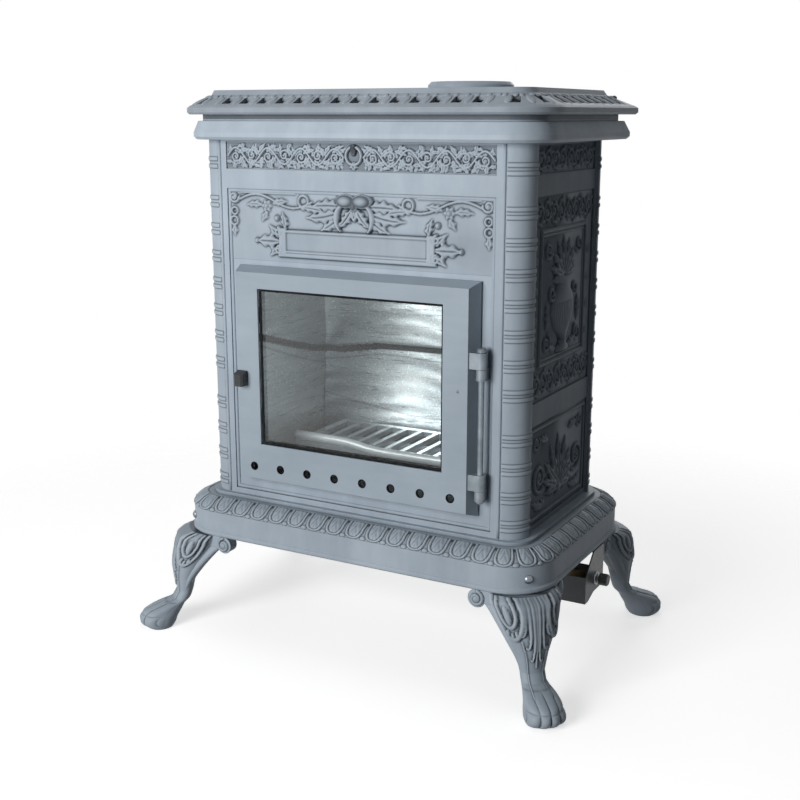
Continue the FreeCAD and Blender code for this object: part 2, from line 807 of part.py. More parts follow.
def flue_tube():
    # stands on the hood and laps the outside of the collar's sleeve
    top = z_lid_top + collar_height - flue_socket + flue_tube_lap
    inner = flue_bore_radius + flue_sleeve_wall + running
    outer = rod(inner + flue_tube_wall, V(flue_x, flue_y, z_hood + sheet), V(flue_x, flue_y, top))
    return outer.cut(rod(inner, V(flue_x, flue_y, z_hood), V(flue_x, flue_y, top + 1)))


def flue_collar():
    # a sleeve through the lid under a flange with a sloping shoulder
    top = z_lid_top + collar_height
    low = top - flue_socket
    centre = V(flue_x, flue_y, 0)
    flange = rod(collar_radius, centre + V(0, 0, z_lid_top), centre + V(0, 0, top))
    rim = [e for e in flange.Edges if e.BoundBox.ZMin > top - same]
    flange = flange.makeChamfer(collar_round, rim)
    sleeve = rod(flue_bore_radius + flue_sleeve_wall, centre + V(0, 0, low), centre + V(0, 0, z_lid_top))
    bore = rod(flue_bore_radius, centre + V(0, 0, low - 1), centre + V(0, 0, top + 1))
    return flange.fuse(sleeve).cut(bore).removeSplitter()


def burner_tube():
    start = V(burner_left, valve_y, z_burner)
    end = V(burner_right, valve_y, z_burner)
    tube = rod(burner_radius, start, end)
    return tube.cut(rod(burner_radius - burner_wall, start + V(burner_wall, 0, 0), end + V(1, 0, 0)))


def burner_saddles():
    saddles = []
    tube = rod(burner_radius + running / 2, V(burner_left, valve_y, z_burner),
               V(burner_right, valve_y, z_burner))
    for x in (saddle_left, saddle_right):
        post = block(x, x + saddle_wall, valve_y - saddle_half_width, valve_y + saddle_half_width,
                     z_floor + sheet, z_burner)
        saddles.append(post.cut(tube))
    return saddles


def injector_block():
    # elbow that turns the gas pipe into the mouth of the burner
    left = burner_right + nozzle_space
    middle = left + injector
    low = z_burner - injector
    body = block(left, middle + injector, valve_y - injector, valve_y + injector, low, z_burner + injector)
    nozzle = rod(nozzle_radius, V(burner_right - nozzle_lap, valve_y, z_burner), V(left, valve_y, z_burner))
    return body.fuse(nozzle)


def fire_grate():
    # flat frame of cross bars on four posts
    low = z_floor + sheet
    level = low + grate_rise
    x0, x1 = grate_x - grate_half_width, grate_x + grate_half_width
    y0, y1 = grate_y - grate_half_depth, grate_y + grate_half_depth
    frame = block(x0, x1, y0, y1, level - grate_bar, level)
    count = grate_bars + 1
    gap = (x1 - x0 - 2 * grate_rail - grate_bars * grate_bar) / count
    slots = []
    for k in range(count):
        left = x0 + grate_rail + k * (gap + grate_bar)
        slots.append(block(left, left + gap, y0 + grate_rail, y1 - grate_rail,
                           level - 2 * grate_bar, level + 1))
    posts = []
    for x in (x0, x1 - grate_rail):
        for y in (y0, y1 - grate_rail):
            posts.append(block(x, x + grate_rail, y, y + grate_rail, low, level))
    return frame.cut(Part.makeCompound(slots)).multiFuse(posts).removeSplitter()


def pilot_rods():
    # name, radius and sideways place of the three rods of the pilot
    return (("pilot_burner", pilot_radius, 0), ("thermocouple", thermocouple_radius, pilot_step),
            ("spark_electrode", electrode_radius, -pilot_step))


def pilot_rod(radius, offset):
    base = V(pilot_x + offset, pilot_y, z_floor + sheet)
    return rod(radius, base, base + V(0, 0, pilot_height))


def pilot_bracket():
    low = z_floor + sheet
    level = low + pilot_plate_rise
    top = block(pilot_x - pilot_plate_half, pilot_x + pilot_plate_half, pilot_y - pilot_plate_depth,
                pilot_y + pilot_plate_depth, level, level + pilot_plate)
    foot = block(pilot_x - pilot_plate_half, pilot_x + pilot_plate_half, pilot_y - pilot_plate_depth,
                 pilot_y - pilot_plate_depth + pilot_plate, low, level)
    holes = [rod(radius + running, V(pilot_x + offset, pilot_y, low),
                 V(pilot_x + offset, pilot_y, level + 2 * pilot_plate))
             for name, radius, offset in pilot_rods()]
    return top.fuse(foot).cut(Part.makeCompound(holes)).removeSplitter()


def box_screw_points():
    x = box_right - box_screw_in
    return [V(x, box_wall_rise_y + box_screw_edge, leg_height), V(x, box_back - box_screw_edge, leg_height)]


def gas_box():
    # folded bracket: front wall and floor in one strip, a side wall for the tap, a flange under the plinth
    t = box_sheet
    step = box_bottom + box_floor_rise
    strip_line = [(box_front, box_front_top), (box_front, box_bottom), (box_floor_front, box_bottom),
                  (box_floor_back, step), (box_back, step), (box_back, step + t),
                  (box_floor_back - t / 3, step + t), (box_floor_front - t / 3, box_bottom + t),
                  (box_front + t, box_bottom + t), (box_front + t, box_front_top)]
    folded = polygon_solid([V(box_left, y, z) for y, z in strip_line], V(box_right - box_left, 0, 0))
    wall_line = [(box_front, box_bottom), (box_front, box_front_top), (box_wall_rise_y, leg_height),
                 (box_back, leg_height), (box_back, step), (box_floor_back, step),
                 (box_floor_front, box_bottom)]
    wall = polygon_solid([V(box_right - t, y, z) for y, z in wall_line], V(t, 0, 0))
    flange = block(box_right - box_flange, box_right, box_wall_rise_y, box_back, leg_height - t, leg_height)
    hole = rod(bush_radius + running, V(box_right - 2 * t, valve_y, valve_z),
               V(box_right + t, valve_y, valve_z))
    drills = [rod(box_screw_radius + hole_room, p - V(0, 0, 2 * t), p + V(0, 0, t))
              for p in box_screw_points()]
    return folded.multiFuse([wall, flange]).cut(Part.makeCompound(drills + [hole])).removeSplitter()


def box_screws():
    screws = []
    for p in box_screw_points():
        seat = p - V(0, 0, box_sheet)
        head = rod(box_screw_head, seat - V(0, 0, box_screw_head_height), seat)
        shank = rod(box_screw_radius - running / 2, seat, p + V(0, 0, box_screw_length - 1))
        screws.append(head.fuse(shank))
    return screws


def gas_valve():
    body = block(valve_left, valve_right, valve_y - valve_half_depth, valve_y + valve_half_depth,
                 valve_z - valve_half, valve_z + valve_half)
    bush = rod(bush_radius, V(valve_right, valve_y, valve_z), V(valve_right + bush_length, valve_y, valve_z))
    flange = rod(bush_radius + box_sheet, V(valve_right, valve_y, valve_z),
                 V(box_right - box_sheet, valve_y, valve_z))
    bore = rod(spindle_radius + running, V(valve_right - spindle_in, valve_y, valve_z),
               V(valve_right + bush_length + 1, valve_y, valve_z))
    return body.multiFuse([bush, flange]).cut(bore).removeSplitter()


def valve_nut_solid():
    nut = hexagon(valve_nut, valve_nut_height, V(box_right, valve_y, valve_z), V(1, 0, 0))
    return nut.cut(rod(bush_radius + running, V(box_right - 1, valve_y, valve_z),
                       V(box_right + 2 * valve_nut_height, valve_y, valve_z)))


def valve_spindle():
    bush_end = valve_right + bush_length
    return rod(spindle_radius, V(valve_right - spindle_in + running, valve_y, valve_z),
               V(bush_end + spindle_out, valve_y, valve_z))


def gas_knob():
    # round knob with finger flutes that slides on the spindle
    start = valve_right + bush_length + knob_gap
    knob = rod(knob_radius, V(start, valve_y, valve_z), V(start + knob_length, valve_y, valve_z))
    end_face = [e for e in knob.Edges if e.BoundBox.XMin > start + knob_length - same]
    knob = knob.makeChamfer(knob_edge, end_face)
    flutes = []
    for k in range(knob_grips):
        a = math.radians(360 * k / knob_grips)
        out = (knob_radius + knob_grip / 2)
        y = valve_y + out * math.cos(a)
        z = valve_z + out * math.sin(a)
        flutes.append(rod(knob_grip, V(start + knob_plain, y, z), V(start + 2 * knob_length, y, z)))
    bore_end = valve_right + bush_length + spindle_out + knob_travel + loose
    bore = rod(spindle_radius + running, V(start - 1, valve_y, valve_z), V(bore_end, valve_y, valve_z))
    return knob.cut(Part.makeCompound(flutes)).cut(bore)


def gas_inlet():
    x = valve_left + inlet_in
    start = V(x, valve_y + valve_half_depth, valve_z)
    stub = rod(inlet_radius, start, start + V(0, inlet_length, 0))
    return stub.cut(rod(inlet_bore, start + V(0, inlet_length / 4, 0), start + V(0, inlet_length + 1, 0)))


def gas_pipe():
    # from the tap along the plinth hollow, then up into the injector
    path_bend = V(pipe_up_x, valve_y, valve_z)
    slope = pipe_bend * (1 - math.sqrt(0.5))
    start = V(valve_left, valve_y, valve_z)
    turn_in = path_bend + V(pipe_bend, 0, 0)
    turn_out = path_bend + V(0, 0, pipe_bend)
    top = V(pipe_up_x, valve_y, z_burner - injector)
    path = Part.Wire([Part.makeLine(start, turn_in),
                      Part.Arc(turn_in, path_bend + V(slope, 0, slope), turn_out).toShape(),
                      Part.makeLine(turn_out, top)])
    section = Part.Wire(Part.makeCircle(pipe_radius, start, V(-1, 0, 0)))
    return path.makePipeShell([section], True, False)


def door_outline(grow, y):
    # rectangle of the door face, grown by the bevel
    half = door_half_width + grow
    low = door_foot - grow
    high = door_head + grow
    points = [V(-half, y, low), V(half, y, low), V(half, y, high), V(-half, y, high)]
    return Part.makePolygon(points + points[:1])


def door_bulk():
    return Part.makeLoft([door_outline(0, door_front), door_outline(door_bevel, door_back)], True, True)


def door_frame():
    inside = Part.makeLoft([door_outline(-door_sheet, door_front + door_sheet),
                            door_outline(door_bevel - door_sheet, door_back - door_sheet)], True, True)
    mouth_half = door_edge - door_lip
    mouth = block(-mouth_half, mouth_half, door_back - 2 * door_sheet, door_back + 1,
                  door_foot - door_bevel + door_lip, door_head + door_bevel - door_lip)
    window = block(-window_half_width, window_half_width, door_front - 1, door_front + 2 * door_sheet,
                   window_foot, window_foot + window_height)
    vents = []
    for k in range(vent_count):
        x = (k - (vent_count - 1) / 2) * vent_pitch
        vents.append(rod(vent_radius, V(x, door_front - 1, door_foot + vent_rise),
                         V(x, door_front + 2 * door_sheet, door_foot + vent_rise)))
    latch = rod(latch_spindle_radius + running, V(latch_x, door_front - 1, latch_z),
                V(latch_x, door_front + 2 * door_sheet, latch_z))
    return door_bulk().cut(inside).cut(Part.makeCompound([mouth, window, latch] + vents))


def glass_levels():
    gasket = door_front + door_sheet
    glass = gasket + gasket_thickness
    return gasket, glass, glass + glass_thickness


def door_glass():
    gasket, glass, back = glass_levels()
    half = window_half_width + glass_lap
    return block(-half, half, glass, back, window_foot - glass_lap, window_foot + window_height + glass_lap)


def glass_gasket():
    gasket, glass, back = glass_levels()
    half = window_half_width + glass_lap
    inner = window_half_width + gasket_in
    tape = block(-half, half, gasket, glass, window_foot - glass_lap, window_foot + window_height + glass_lap)
    return tape.cut(block(-inner, inner, gasket - 1, glass + 1, window_foot - gasket_in,
                          window_foot + window_height + gasket_in))


def clip_places():
    rows = (window_foot + clip_from_edge, window_foot + window_height - clip_from_edge)
    return [(side, z) for side in (-1, 1) for z in rows]


def glass_clips():
    # stepped tabs screwed beside the glass that hold its edge from behind
    gasket, glass, back = glass_levels()
    edge = window_half_width + glass_lap
    clips = []
    for side, z in clip_places():
        low, high = z - clip_width / 2, z + clip_width / 2
        foot = block(edge + running, edge + running + clip_base, gasket, back, low, high)
        tab = block(edge - clip_over, edge + running + clip_base, back, back + clip_sheet, low, high)
        hole = rod(clip_screw_radius + hole_room, V(edge + running + clip_base / 2, gasket - 1, z),
                   V(edge + running + clip_base / 2, back + 2 * clip_sheet, z))
        clip = foot.fuse(tab).cut(hole).removeSplitter()
        clips.append(clip if side > 0 else clip.mirror(V(0, 0, 0), V(1, 0, 0)))
    return clips


def clip_screws():
    gasket, glass, back = glass_levels()
    edge = window_half_width + glass_lap + running + clip_base / 2
    seat = back + clip_sheet
    screws = []
    for side, z in clip_places():
        shank = rod(clip_screw_radius, V(side * edge, gasket, z), V(side * edge, seat, z))
        head = rod(clip_screw_head, V(side * edge, seat, z), V(side * edge, seat + clip_screw_head_height, z))
        screws.append(shank.fuse(head))
    return screws


def door_seal():
    # rope seal on the turned-in lip of the door
    out = door_edge - seal_in
    inner = out - seal_width
    low = door_foot - door_bevel + seal_in
    high = door_head + door_bevel - seal_in
    ring = block(-out, out, door_back, door_back + seal_thickness - running, low, high)
    return ring.cut(block(-inner, inner, door_back - 1, door_back + seal_thickness, low + seal_width,
                          high - seal_width))


def hinge_eye(low):
    axis = V(hinge_x, hinge_y, low)
    eye = rod(eye_radius, axis, axis + V(0, 0, eye_height))
    arm = block(door_half_width - door_bevel, hinge_x, hinge_y - eye_radius, hinge_y + eye_radius,
                low, low + eye_height)
    bore = rod(hinge_pin_radius + running, axis - V(0, 0, 1), axis + V(0, 0, eye_height + 1))
    return eye.fuse(arm).cut(door_bulk()).cut(bore).removeSplitter()


def hinge_bracket(low):
    # collar under a door eye, on a web that stands on the front plate
    top = low - loose
    axis = V(hinge_x, hinge_y, top - collar_eye_height)
    collar = rod(collar_eye_radius, axis, axis + V(0, 0, collar_eye_height))
    web = block(hinge_x - bracket_web / 2, hinge_x + bracket_web / 2, hinge_y, front_ground,
                top - collar_eye_height, top)
    bore = rod(hinge_pin_radius + running / 2, axis - V(0, 0, 1), axis + V(0, 0, collar_eye_height + 1))
    return collar.fuse(web).cut(bore).removeSplitter()


def hinge_pin():
    low = door_foot + eye_low - loose - collar_eye_height - pin_below
    head = door_foot + eye_high + eye_height + loose
    pin = rod(hinge_pin_radius, V(hinge_x, hinge_y, low), V(hinge_x, hinge_y, head))
    cap = rod(pin_head_radius, V(hinge_x, hinge_y, head), V(hinge_x, hinge_y, head + pin_head_height))
    rim = [e for e in cap.Edges if e.BoundBox.ZMin > head + pin_head_height - same]
    return pin.fuse(cap.makeChamfer(pin_head_edge, rim)).removeSplitter()


def latch_handle():
    # grip block on a round boss in front of the door
    seat = door_front - running
    boss = rod(latch_boss_radius, V(latch_x, seat - latch_boss, latch_z), V(latch_x, seat, latch_z))
    half_w = latch_grip_width / 2
    half_h = latch_grip_height / 2
    near = seat - latch_boss
    far = near - latch_grip_depth
    side_line = [V(latch_x - half_w, near, latch_z - half_h), V(latch_x - half_w, far, latch_z - half_h),
                 V(latch_x - half_w, far, latch_z + half_h - latch_grip_slope),
                 V(latch_x - half_w, near, latch_z + half_h)]
    grip = polygon_solid(side_line, V(latch_grip_width, 0, 0))
    upright = [e for e in grip.Edges if abs(e.BoundBox.YMax - far) < same and e.BoundBox.XLength < same]
    grip = grip.makeChamfer(latch_grip_chamfer, upright)
    return boss.fuse(grip).removeSplitter()


def latch_spindle():
    return rod(latch_spindle_radius, V(latch_x, door_front - running, latch_z),
               V(latch_x, -plate_back + loose, latch_z))


def latch_tongue():
    # upright while the door is free, it turns behind the edge of the front plate
    near = -plate_back + loose
    half = tongue_width / 2
    hub = rod(half, V(latch_x, near, latch_z), V(latch_x, near + tongue_thickness, latch_z))
    arm = block(latch_x - half, latch_x + half, near, near + tongue_thickness,
                latch_z, latch_z + tongue_length)
    return hub.fuse(arm).removeSplitter()


def keeper_peg():
    base = peg_base()
    peg = rod(peg_radius, base + V(0, plate / 2, 0), base - V(0, peg_length, 0))
    rim = [e for e in peg.Edges if abs(e.BoundBox.YMax - base.y + peg_length) < same]
    return peg.makeChamfer(peg_edge, rim)


def save(name, shape):
    if isinstance(shape, list):
        shape = Part.makeCompound(shape)
    shape.exportStep("parts/" + name + ".step")


def main():
    os.makedirs("parts", exist_ok=True)
    one_leg = leg()
    for name, side, end in corners:
        save("leg_" + name, at_corner(one_leg.copy(), side, end))
        save("column_" + name, column(side, end))
    save("leg_bolts", [at_corner(leg_bolt(), side, end) for name, side, end in corners])
    save("leg_nuts", [at_corner(leg_nut_solid(), side, end) for name, side, end in corners])
    for name, side in (("left", -1), ("right", 1)):
        save("side_plate_" + name, side_plate(side))
        save("firebox_" + name, firebox_side(side))
    for name, radius, offset in pilot_rods():
        save(name, pilot_rod(radius, offset))
    for name, rise in (("lower", eye_low), ("upper", eye_high)):
        save("hinge_eye_" + name, hinge_eye(door_foot + rise))
        save("hinge_bracket_" + name, hinge_bracket(door_foot + rise))
    single = {
        "plinth": plinth, "front_plate": front_plate, "back_plate": back_plate, "cornice": cornice,
        "lid": lid, "tie_rods": tie_rods, "tie_rod_nuts": tie_nuts, "firebox_floor": firebox_floor,
        "firebox_back": firebox_back, "firebox_hood": firebox_hood, "flue_tube": flue_tube,
        "flue_collar": flue_collar, "burner_tube": burner_tube, "burner_saddles": burner_saddles,
        "injector_block": injector_block, "fire_grate": fire_grate, "pilot_bracket": pilot_bracket,
        "gas_box": gas_box, "gas_box_screws": box_screws, "gas_valve": gas_valve,
        "valve_nut": valve_nut_solid, "valve_spindle": valve_spindle, "gas_knob": gas_knob,
        "gas_inlet": gas_inlet, "gas_pipe": gas_pipe, "door_frame": door_frame, "door_glass": door_glass,
        "glass_gasket": glass_gasket, "glass_clips": glass_clips, "clip_screws": clip_screws,
        "door_seal": door_seal, "hinge_pin": hinge_pin, "latch_handle": latch_handle,
        "latch_spindle": latch_spindle, "latch_tongue": latch_tongue, "keeper_peg": keeper_peg}
    for name, make in single.items():
        save(name, make())


main()
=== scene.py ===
import json
import bpy
import numpy as np
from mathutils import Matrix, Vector


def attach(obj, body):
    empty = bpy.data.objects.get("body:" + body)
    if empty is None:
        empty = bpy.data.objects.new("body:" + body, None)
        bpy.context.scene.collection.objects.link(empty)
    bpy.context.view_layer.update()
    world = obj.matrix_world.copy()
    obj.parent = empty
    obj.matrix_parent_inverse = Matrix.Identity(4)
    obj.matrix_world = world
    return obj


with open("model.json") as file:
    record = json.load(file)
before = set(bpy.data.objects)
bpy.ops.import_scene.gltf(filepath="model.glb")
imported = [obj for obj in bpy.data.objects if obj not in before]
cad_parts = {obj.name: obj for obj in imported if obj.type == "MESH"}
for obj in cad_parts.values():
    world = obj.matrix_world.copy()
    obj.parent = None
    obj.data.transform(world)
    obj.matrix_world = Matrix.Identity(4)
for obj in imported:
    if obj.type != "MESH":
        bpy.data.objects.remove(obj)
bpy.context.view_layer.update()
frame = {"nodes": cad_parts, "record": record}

mm = 0.001
nodes = frame["nodes"]
print("frame loaded:", len(nodes), "nodes")


# finishes

def colour(red, green, blue):
    # 0-255 display values turned to scene-linear
    share = np.array([red, green, blue]) / 255
    return tuple(np.where(share > 0.04045, ((share + 0.055) / 1.055) ** 2.4, share / 12.92)) + (1.0,)


def startFinish(name):
    finish = bpy.data.materials.new(name)
    finish.use_nodes = True
    return finish, finish.node_tree, finish.node_tree.nodes["Principled BSDF"]


def replaceSurface(finish, surface):
    # another shader in the place of the standard one
    tree = finish.node_tree
    tree.nodes.remove(tree.nodes["Principled BSDF"])
    tree.links.new(surface, tree.nodes["Material Output"].inputs["Surface"])
    return finish


def addNode(tree, kind, output, inputs=None, **settings):
    # output of a new node; each of its inputs, by name or number, takes a fixed value or another output
    node = tree.nodes.new("ShaderNode" + kind)
    for label, value in settings.items():
        setattr(node, label, value)
    for label, value in (inputs or {}).items():
        if isinstance(value, bpy.types.NodeSocket):
            tree.links.new(value, node.inputs[label])
        else:
            node.inputs[label].default_value = value
    return node.outputs[output]


def noise(tree, scale, detail, stretch=None):
    # noise on object coordinates, drawn out along an axis by stretch
    coords = addNode(tree, "TexCoord", "Object")
    if stretch:
        coords = addNode(tree, "Mapping", "Vector", {"Vector": coords, "Scale": stretch})
    values = {"Vector": coords, "Scale": scale, "Detail": detail, "Roughness": 0.6}
    return addNode(tree, "TexNoise", "Fac", values)


def ramp(tree, source, stops):
    node = tree.nodes.new("ShaderNodeValToRGB")
    tree.links.new(source, node.inputs["Fac"])
    band = node.color_ramp.elements
    while len(band) < len(stops):
        band.new(0.5)
    for element, (place, shade) in zip(band, stops):
        element.position = place
        element.color = shade
    return node.outputs["Color"]


def blend(tree, factor, first, second, mode="MIX"):
    # colour mix; each of factor, first and second is a socket or a fixed value
    values = {0: factor, 6: first, 7: second}
    return addNode(tree, "Mix", 2, values, data_type="RGBA", blend_type=mode)


def spread(tree, source, span, results):
    # carries a span of the source onto the results, clamped at both ends
    limits = {"From Min": span[0], "From Max": span[1], "To Min": results[0], "To Max": results[1]}
    return addNode(tree, "MapRange", "Result", dict(limits, Value=source))


def bump(tree, source, strength, depth, under):
    values = {"Height": source, "Strength": strength, "Distance": depth, "Normal": under}
    return addNode(tree, "Bump", "Normal", values)


def edgeLightAndCornerShade(tree, look):
    # a bevel's normal leaves the true one at sharp edges; nearby walls tell inner corners from outer edges.
    # Outer edges are lightened as rubbed wear and painted highlight, inner corners get painted shade
    rounded = addNode(tree, "Bevel", "Normal", {"Radius": look["edge"]}, samples=4)
    flat = addNode(tree, "NewGeometry", "Normal")
    match = addNode(tree, "VectorMath", "Value", {0: rounded, 1: flat}, operation="DOT_PRODUCT")
    reach = {"Distance": look["corner"]}
    walls = addNode(tree, "AmbientOcclusion", "AO", reach, samples=5, only_local=True)
    sharp = spread(tree, match, (0.97, 0.8), (0.0, look["edgeShare"]))
    outer = spread(tree, walls, (0.8, 0.97), (0.0, 1.0))
    inner = spread(tree, walls, (0.85, 0.35), (0.0, look["cornerShare"]))
    both = addNode(tree, "Math", "Value", {0: sharp, 1: outer}, operation="MULTIPLY")
    return rounded, both, inner


def surfaceFinish(name, look):
    # blotches of three tones, streaks, painted shade deepening towards the bottom, painted shade in hollows
    # and inner corners, and edges and high spots lightened as rubbed wear and painted highlight
    finish, tree, shader = startFinish(name)
    white = (1.0, 1.0, 1.0, 1.0)
    hollow, rubbed = colour(*look["hollowColour"]), colour(*look["rubbedColour"])
    tones = [(at, colour(*look[tone])) for at, tone in ((0.3, "dark"), (0.52, "middle"), (0.72, "light"))]
    base = ramp(tree, noise(tree, look["blotch"], 5.0), tones)
    streaks = [(0.35, colour(*look["streakDark"])), (0.65, white)]
    streaks = ramp(tree, noise(tree, look["streak"], 3.0, look["pull"]), streaks)
    base = blend(tree, look["streakShare"], base, streaks, "MULTIPLY")
    if "crease" in look:
        # thin lines of painted shade, as in fine creases, where a drawn-out noise crosses its middle values
        shadeLines = [(0.0, white), (0.484, white), (0.5, colour(*look["creaseDark"])), (0.516, white)]
        shadeLines = ramp(tree, noise(tree, look["crease"], 2.0, look["creasePull"]), shadeLines)
        base = blend(tree, 1.0, base, shadeLines, "MULTIPLY")
    coords = addNode(tree, "TexCoord", "Object")
    height = addNode(tree, "SeparateXYZ", "Z", {"Vector": coords})
    # painted shade that deepens towards the bottom
    low = spread(tree, height, look["fallHeights"], (look["fall"], 0.0))
    base = blend(tree, low, base, hollow)
    # outer edges lightened as rubbed wear and painted highlight; painted shade in inner corners
    normal, edges, corners = edgeLightAndCornerShade(tree, look)
    base = blend(tree, edges, base, rubbed)
    base = blend(tree, corners, base, hollow)
    # painted shade in hollows and lightened high spots (rubbed wear and painted highlight), from the marks on
    # the pieces
    for mark, shade in (("hollow", hollow), ("rubbed", rubbed)):
        share = addNode(tree, "Attribute", "Fac", attribute_name=mark)
        base = blend(tree, share, base, shade)
    tree.links.new(base, shader.inputs["Base Color"])
    grain = noise(tree, look["grain"], 3.0)
    tree.links.new(spread(tree, grain, (0.3, 0.7), look["rough"]), shader.inputs["Roughness"])
    waves = bump(tree, noise(tree, look["wave"], 2.0), look["waveShare"], look["waveDepth"], normal)
    tree.links.new(bump(tree, grain, look["grainShare"], look["grainDepth"], waves), shader.inputs["Normal"])
    shader.inputs["Metallic"].default_value = look["metal"]
    shader.inputs["Specular IOR Level"].default_value = look["gloss"]
    return finish


# hollowColour is the colour of all painted shade; rubbedColour lightens edges and high spots as wear and
# painted highlight
ironLook = {"dark": (166, 178, 190), "middle": (178, 191, 203), "light": (187, 200, 212),
    "streakDark": (226, 229, 232), "hollowColour": (40, 45, 51), "rubbedColour": (204, 213, 222),
    "blotch": 6.0, "streak": 30.0, "pull": (1.0, 1.0, 0.18), "streakShare": 0.45, "grain": 480.0,
    "rough": (0.4, 0.56), "wave": 30.0, "waveShare": 0.22, "waveDepth": 0.0014, "grainShare": 0.2,
    "grainDepth": 0.0004, "metal": 0.0, "gloss": 0.14, "edge": 0.0016, "edgeShare": 0.6, "corner": 0.008,
    "cornerShare": 0.7, "fallHeights": (0.1, 0.8), "fall": 0.22}
ironFinish = surfaceFinish("graphiteIron", ironLook)


def variant(name, dark, middle, light, **changes):
    # the iron's look with other tones and other values
    return surfaceFinish(name, dict(ironLook, dark=dark, middle=middle, light=light, **changes))


# side plates: a darker copy of the iron, as painted shade
sideFinish = variant("sideShadedIron", (134, 145, 155), (146, 157, 168), (156, 168, 179),
    hollowColour=(26, 29, 34), rubbedColour=(178, 188, 197), gloss=0.05)
# cornice: painted shade on its neck under the lid, above 777.8 mm
corniceFinish = variant("neckedIron", (175, 188, 200), (188, 201, 213), (197, 210, 222),
    fallHeights=(0.7778, 0.7771), fall=0.7)
# lid: deep painted shade in its piercings and inner corners
lidFinish = variant("piercedIron", (150, 160, 170), (161, 171, 181), (170, 180, 190), corner=0.024,
    cornerShare=0.95, fall=0.0)
hingeFinish = variant("hingeIron", (122, 132, 140), (144, 154, 162), (168, 178, 186), blotch=40.0,
    rough=(0.36, 0.5), metal=0.3, gloss=0.3, edge=0.0007)
doorFinish = variant("doorSteel", (154, 167, 178), (164, 177, 188), (171, 184, 195), blotch=4.0,
    streak=60.0, pull=(0.2, 1.0, 1.0), streakShare=0.25, waveShare=0.05, grainShare=0.1, rough=(0.36, 0.46),
    edge=0.0009, edgeShare=0.35, fall=0.08)
bareFinish = variant("bareSteel", (120, 128, 135), (150, 158, 165), (178, 186, 192), blotch=30.0,
    rough=(0.28, 0.42), waveShare=0.08, metal=0.85, gloss=0.5)
linerFinish = variant("brightLiner", (236, 242, 245), (246, 250, 252), (250, 252, 253), streak=46.0,
    pull=(0.12, 0.12, 1.0), streakShare=0.6, streakDark=(198, 206, 210), crease=120.0,
    creasePull=(0.05, 0.05, 1.0), creaseDark=(166, 173, 177), wave=16.0, waveShare=0.12, waveDepth=0.004,
    grainShare=0.04, rough=(0.18, 0.3), metal=0.54, gloss=0.6, fall=0.0, cornerShare=0.0)
# firebox floor: a darker copy of the bright steel, as painted shade under the grate
floorShadeFinish = variant("shadedFloorSteel", (92, 96, 98), (120, 125, 127), (146, 151, 153), blotch=18.0,
    rough=(0.45, 0.7), metal=0.2, fall=0.0)
paleFinish = variant("paleSteel", (226, 234, 239), (236, 242, 246), (244, 248, 250), blotch=20.0,
    rough=(0.12, 0.22), waveShare=0.1, fall=0.0, metal=0.7, gloss=0.6, cornerShare=0.3)
lipFinish = variant("paleLip", (236, 241, 243), (244, 247, 249), (250, 252, 252), blotch=20.0,
    rough=(0.28, 0.4), waveShare=0.08, fall=0.0, metal=0.25, gloss=0.6, edgeShare=0.0, cornerShare=0.2)
brassFinish = variant("brassFitting", (70, 61, 44), (90, 78, 56), (112, 97, 70), blotch=40.0,
    rough=(0.36, 0.52), waveShare=0.05, metal=0.85, hollowColour=(52, 42, 26), rubbedColour=(136, 118, 84),
    gloss=0.5)
blackFinish = variant("blackEnamel", (34, 37, 40), (42, 46, 50), (54, 58, 62), blotch=24.0,
    rough=(0.3, 0.46), waveShare=0.1, metal=0.1, gloss=0.5, edge=0.0006, edgeShare=0.4,
    hollowColour=(14, 15, 17), rubbedColour=(98, 103, 108))
# near-black vent rims: painted shade inside the vent holes
ventShadeFinish = variant("ventShadeBlack", (16, 17, 18), (22, 23, 25), (32, 34, 36), blotch=90.0, rough=(0.6, 0.8),
    gloss=0.1, edgeShare=0.0, hollowColour=(8, 8, 9))
knobFinish = variant("blackKnob", (30, 31, 33), (36, 38, 40), (44, 46, 48), blotch=60.0, grain=1400.0,
    rough=(0.42, 0.55), waveShare=0.03, gloss=0.4, edge=0.0006, rubbedColour=(66, 69, 72),
    hollowColour=(14, 14, 15))
ceramicFinish = variant("whiteCeramic", (226, 224, 216), (236, 234, 228), (244, 243, 238), blotch=50.0,
    rough=(0.18, 0.28), waveShare=0.03, gloss=0.5, edge=0.0004, rubbedColour=(246, 245, 241))
ropeFinish = variant("fibreRope", (28, 29, 31), (40, 42, 44), (56, 58, 60), blotch=120.0, streak=300.0,
    pull=(1.0, 1.0, 1.0), grain=900.0, grainShare=0.9, grainDepth=0.001, rough=(0.85, 0.98), gloss=0.1,
    edgeShare=0.0, hollowColour=(20, 21, 22))


def glassFinish():
    # clear pane: mostly see-through, with a mirror share that grows at grazing angles
    finish, tree, _ = startFinish("firePane")
    gloss = addNode(tree, "BsdfGlossy", "BSDF", {"Roughness": 0.03})
    clear = addNode(tree, "BsdfTransparent", "BSDF", {"Color": (0.93, 0.95, 0.95, 1.0)})
    edge = addNode(tree, "Fresnel", "Fac", {"IOR": 1.5})
    pane = addNode(tree, "MixShader", "Shader", {"Fac": edge, 1: clear, 2: gloss})
    return replaceSurface(finish, pane)


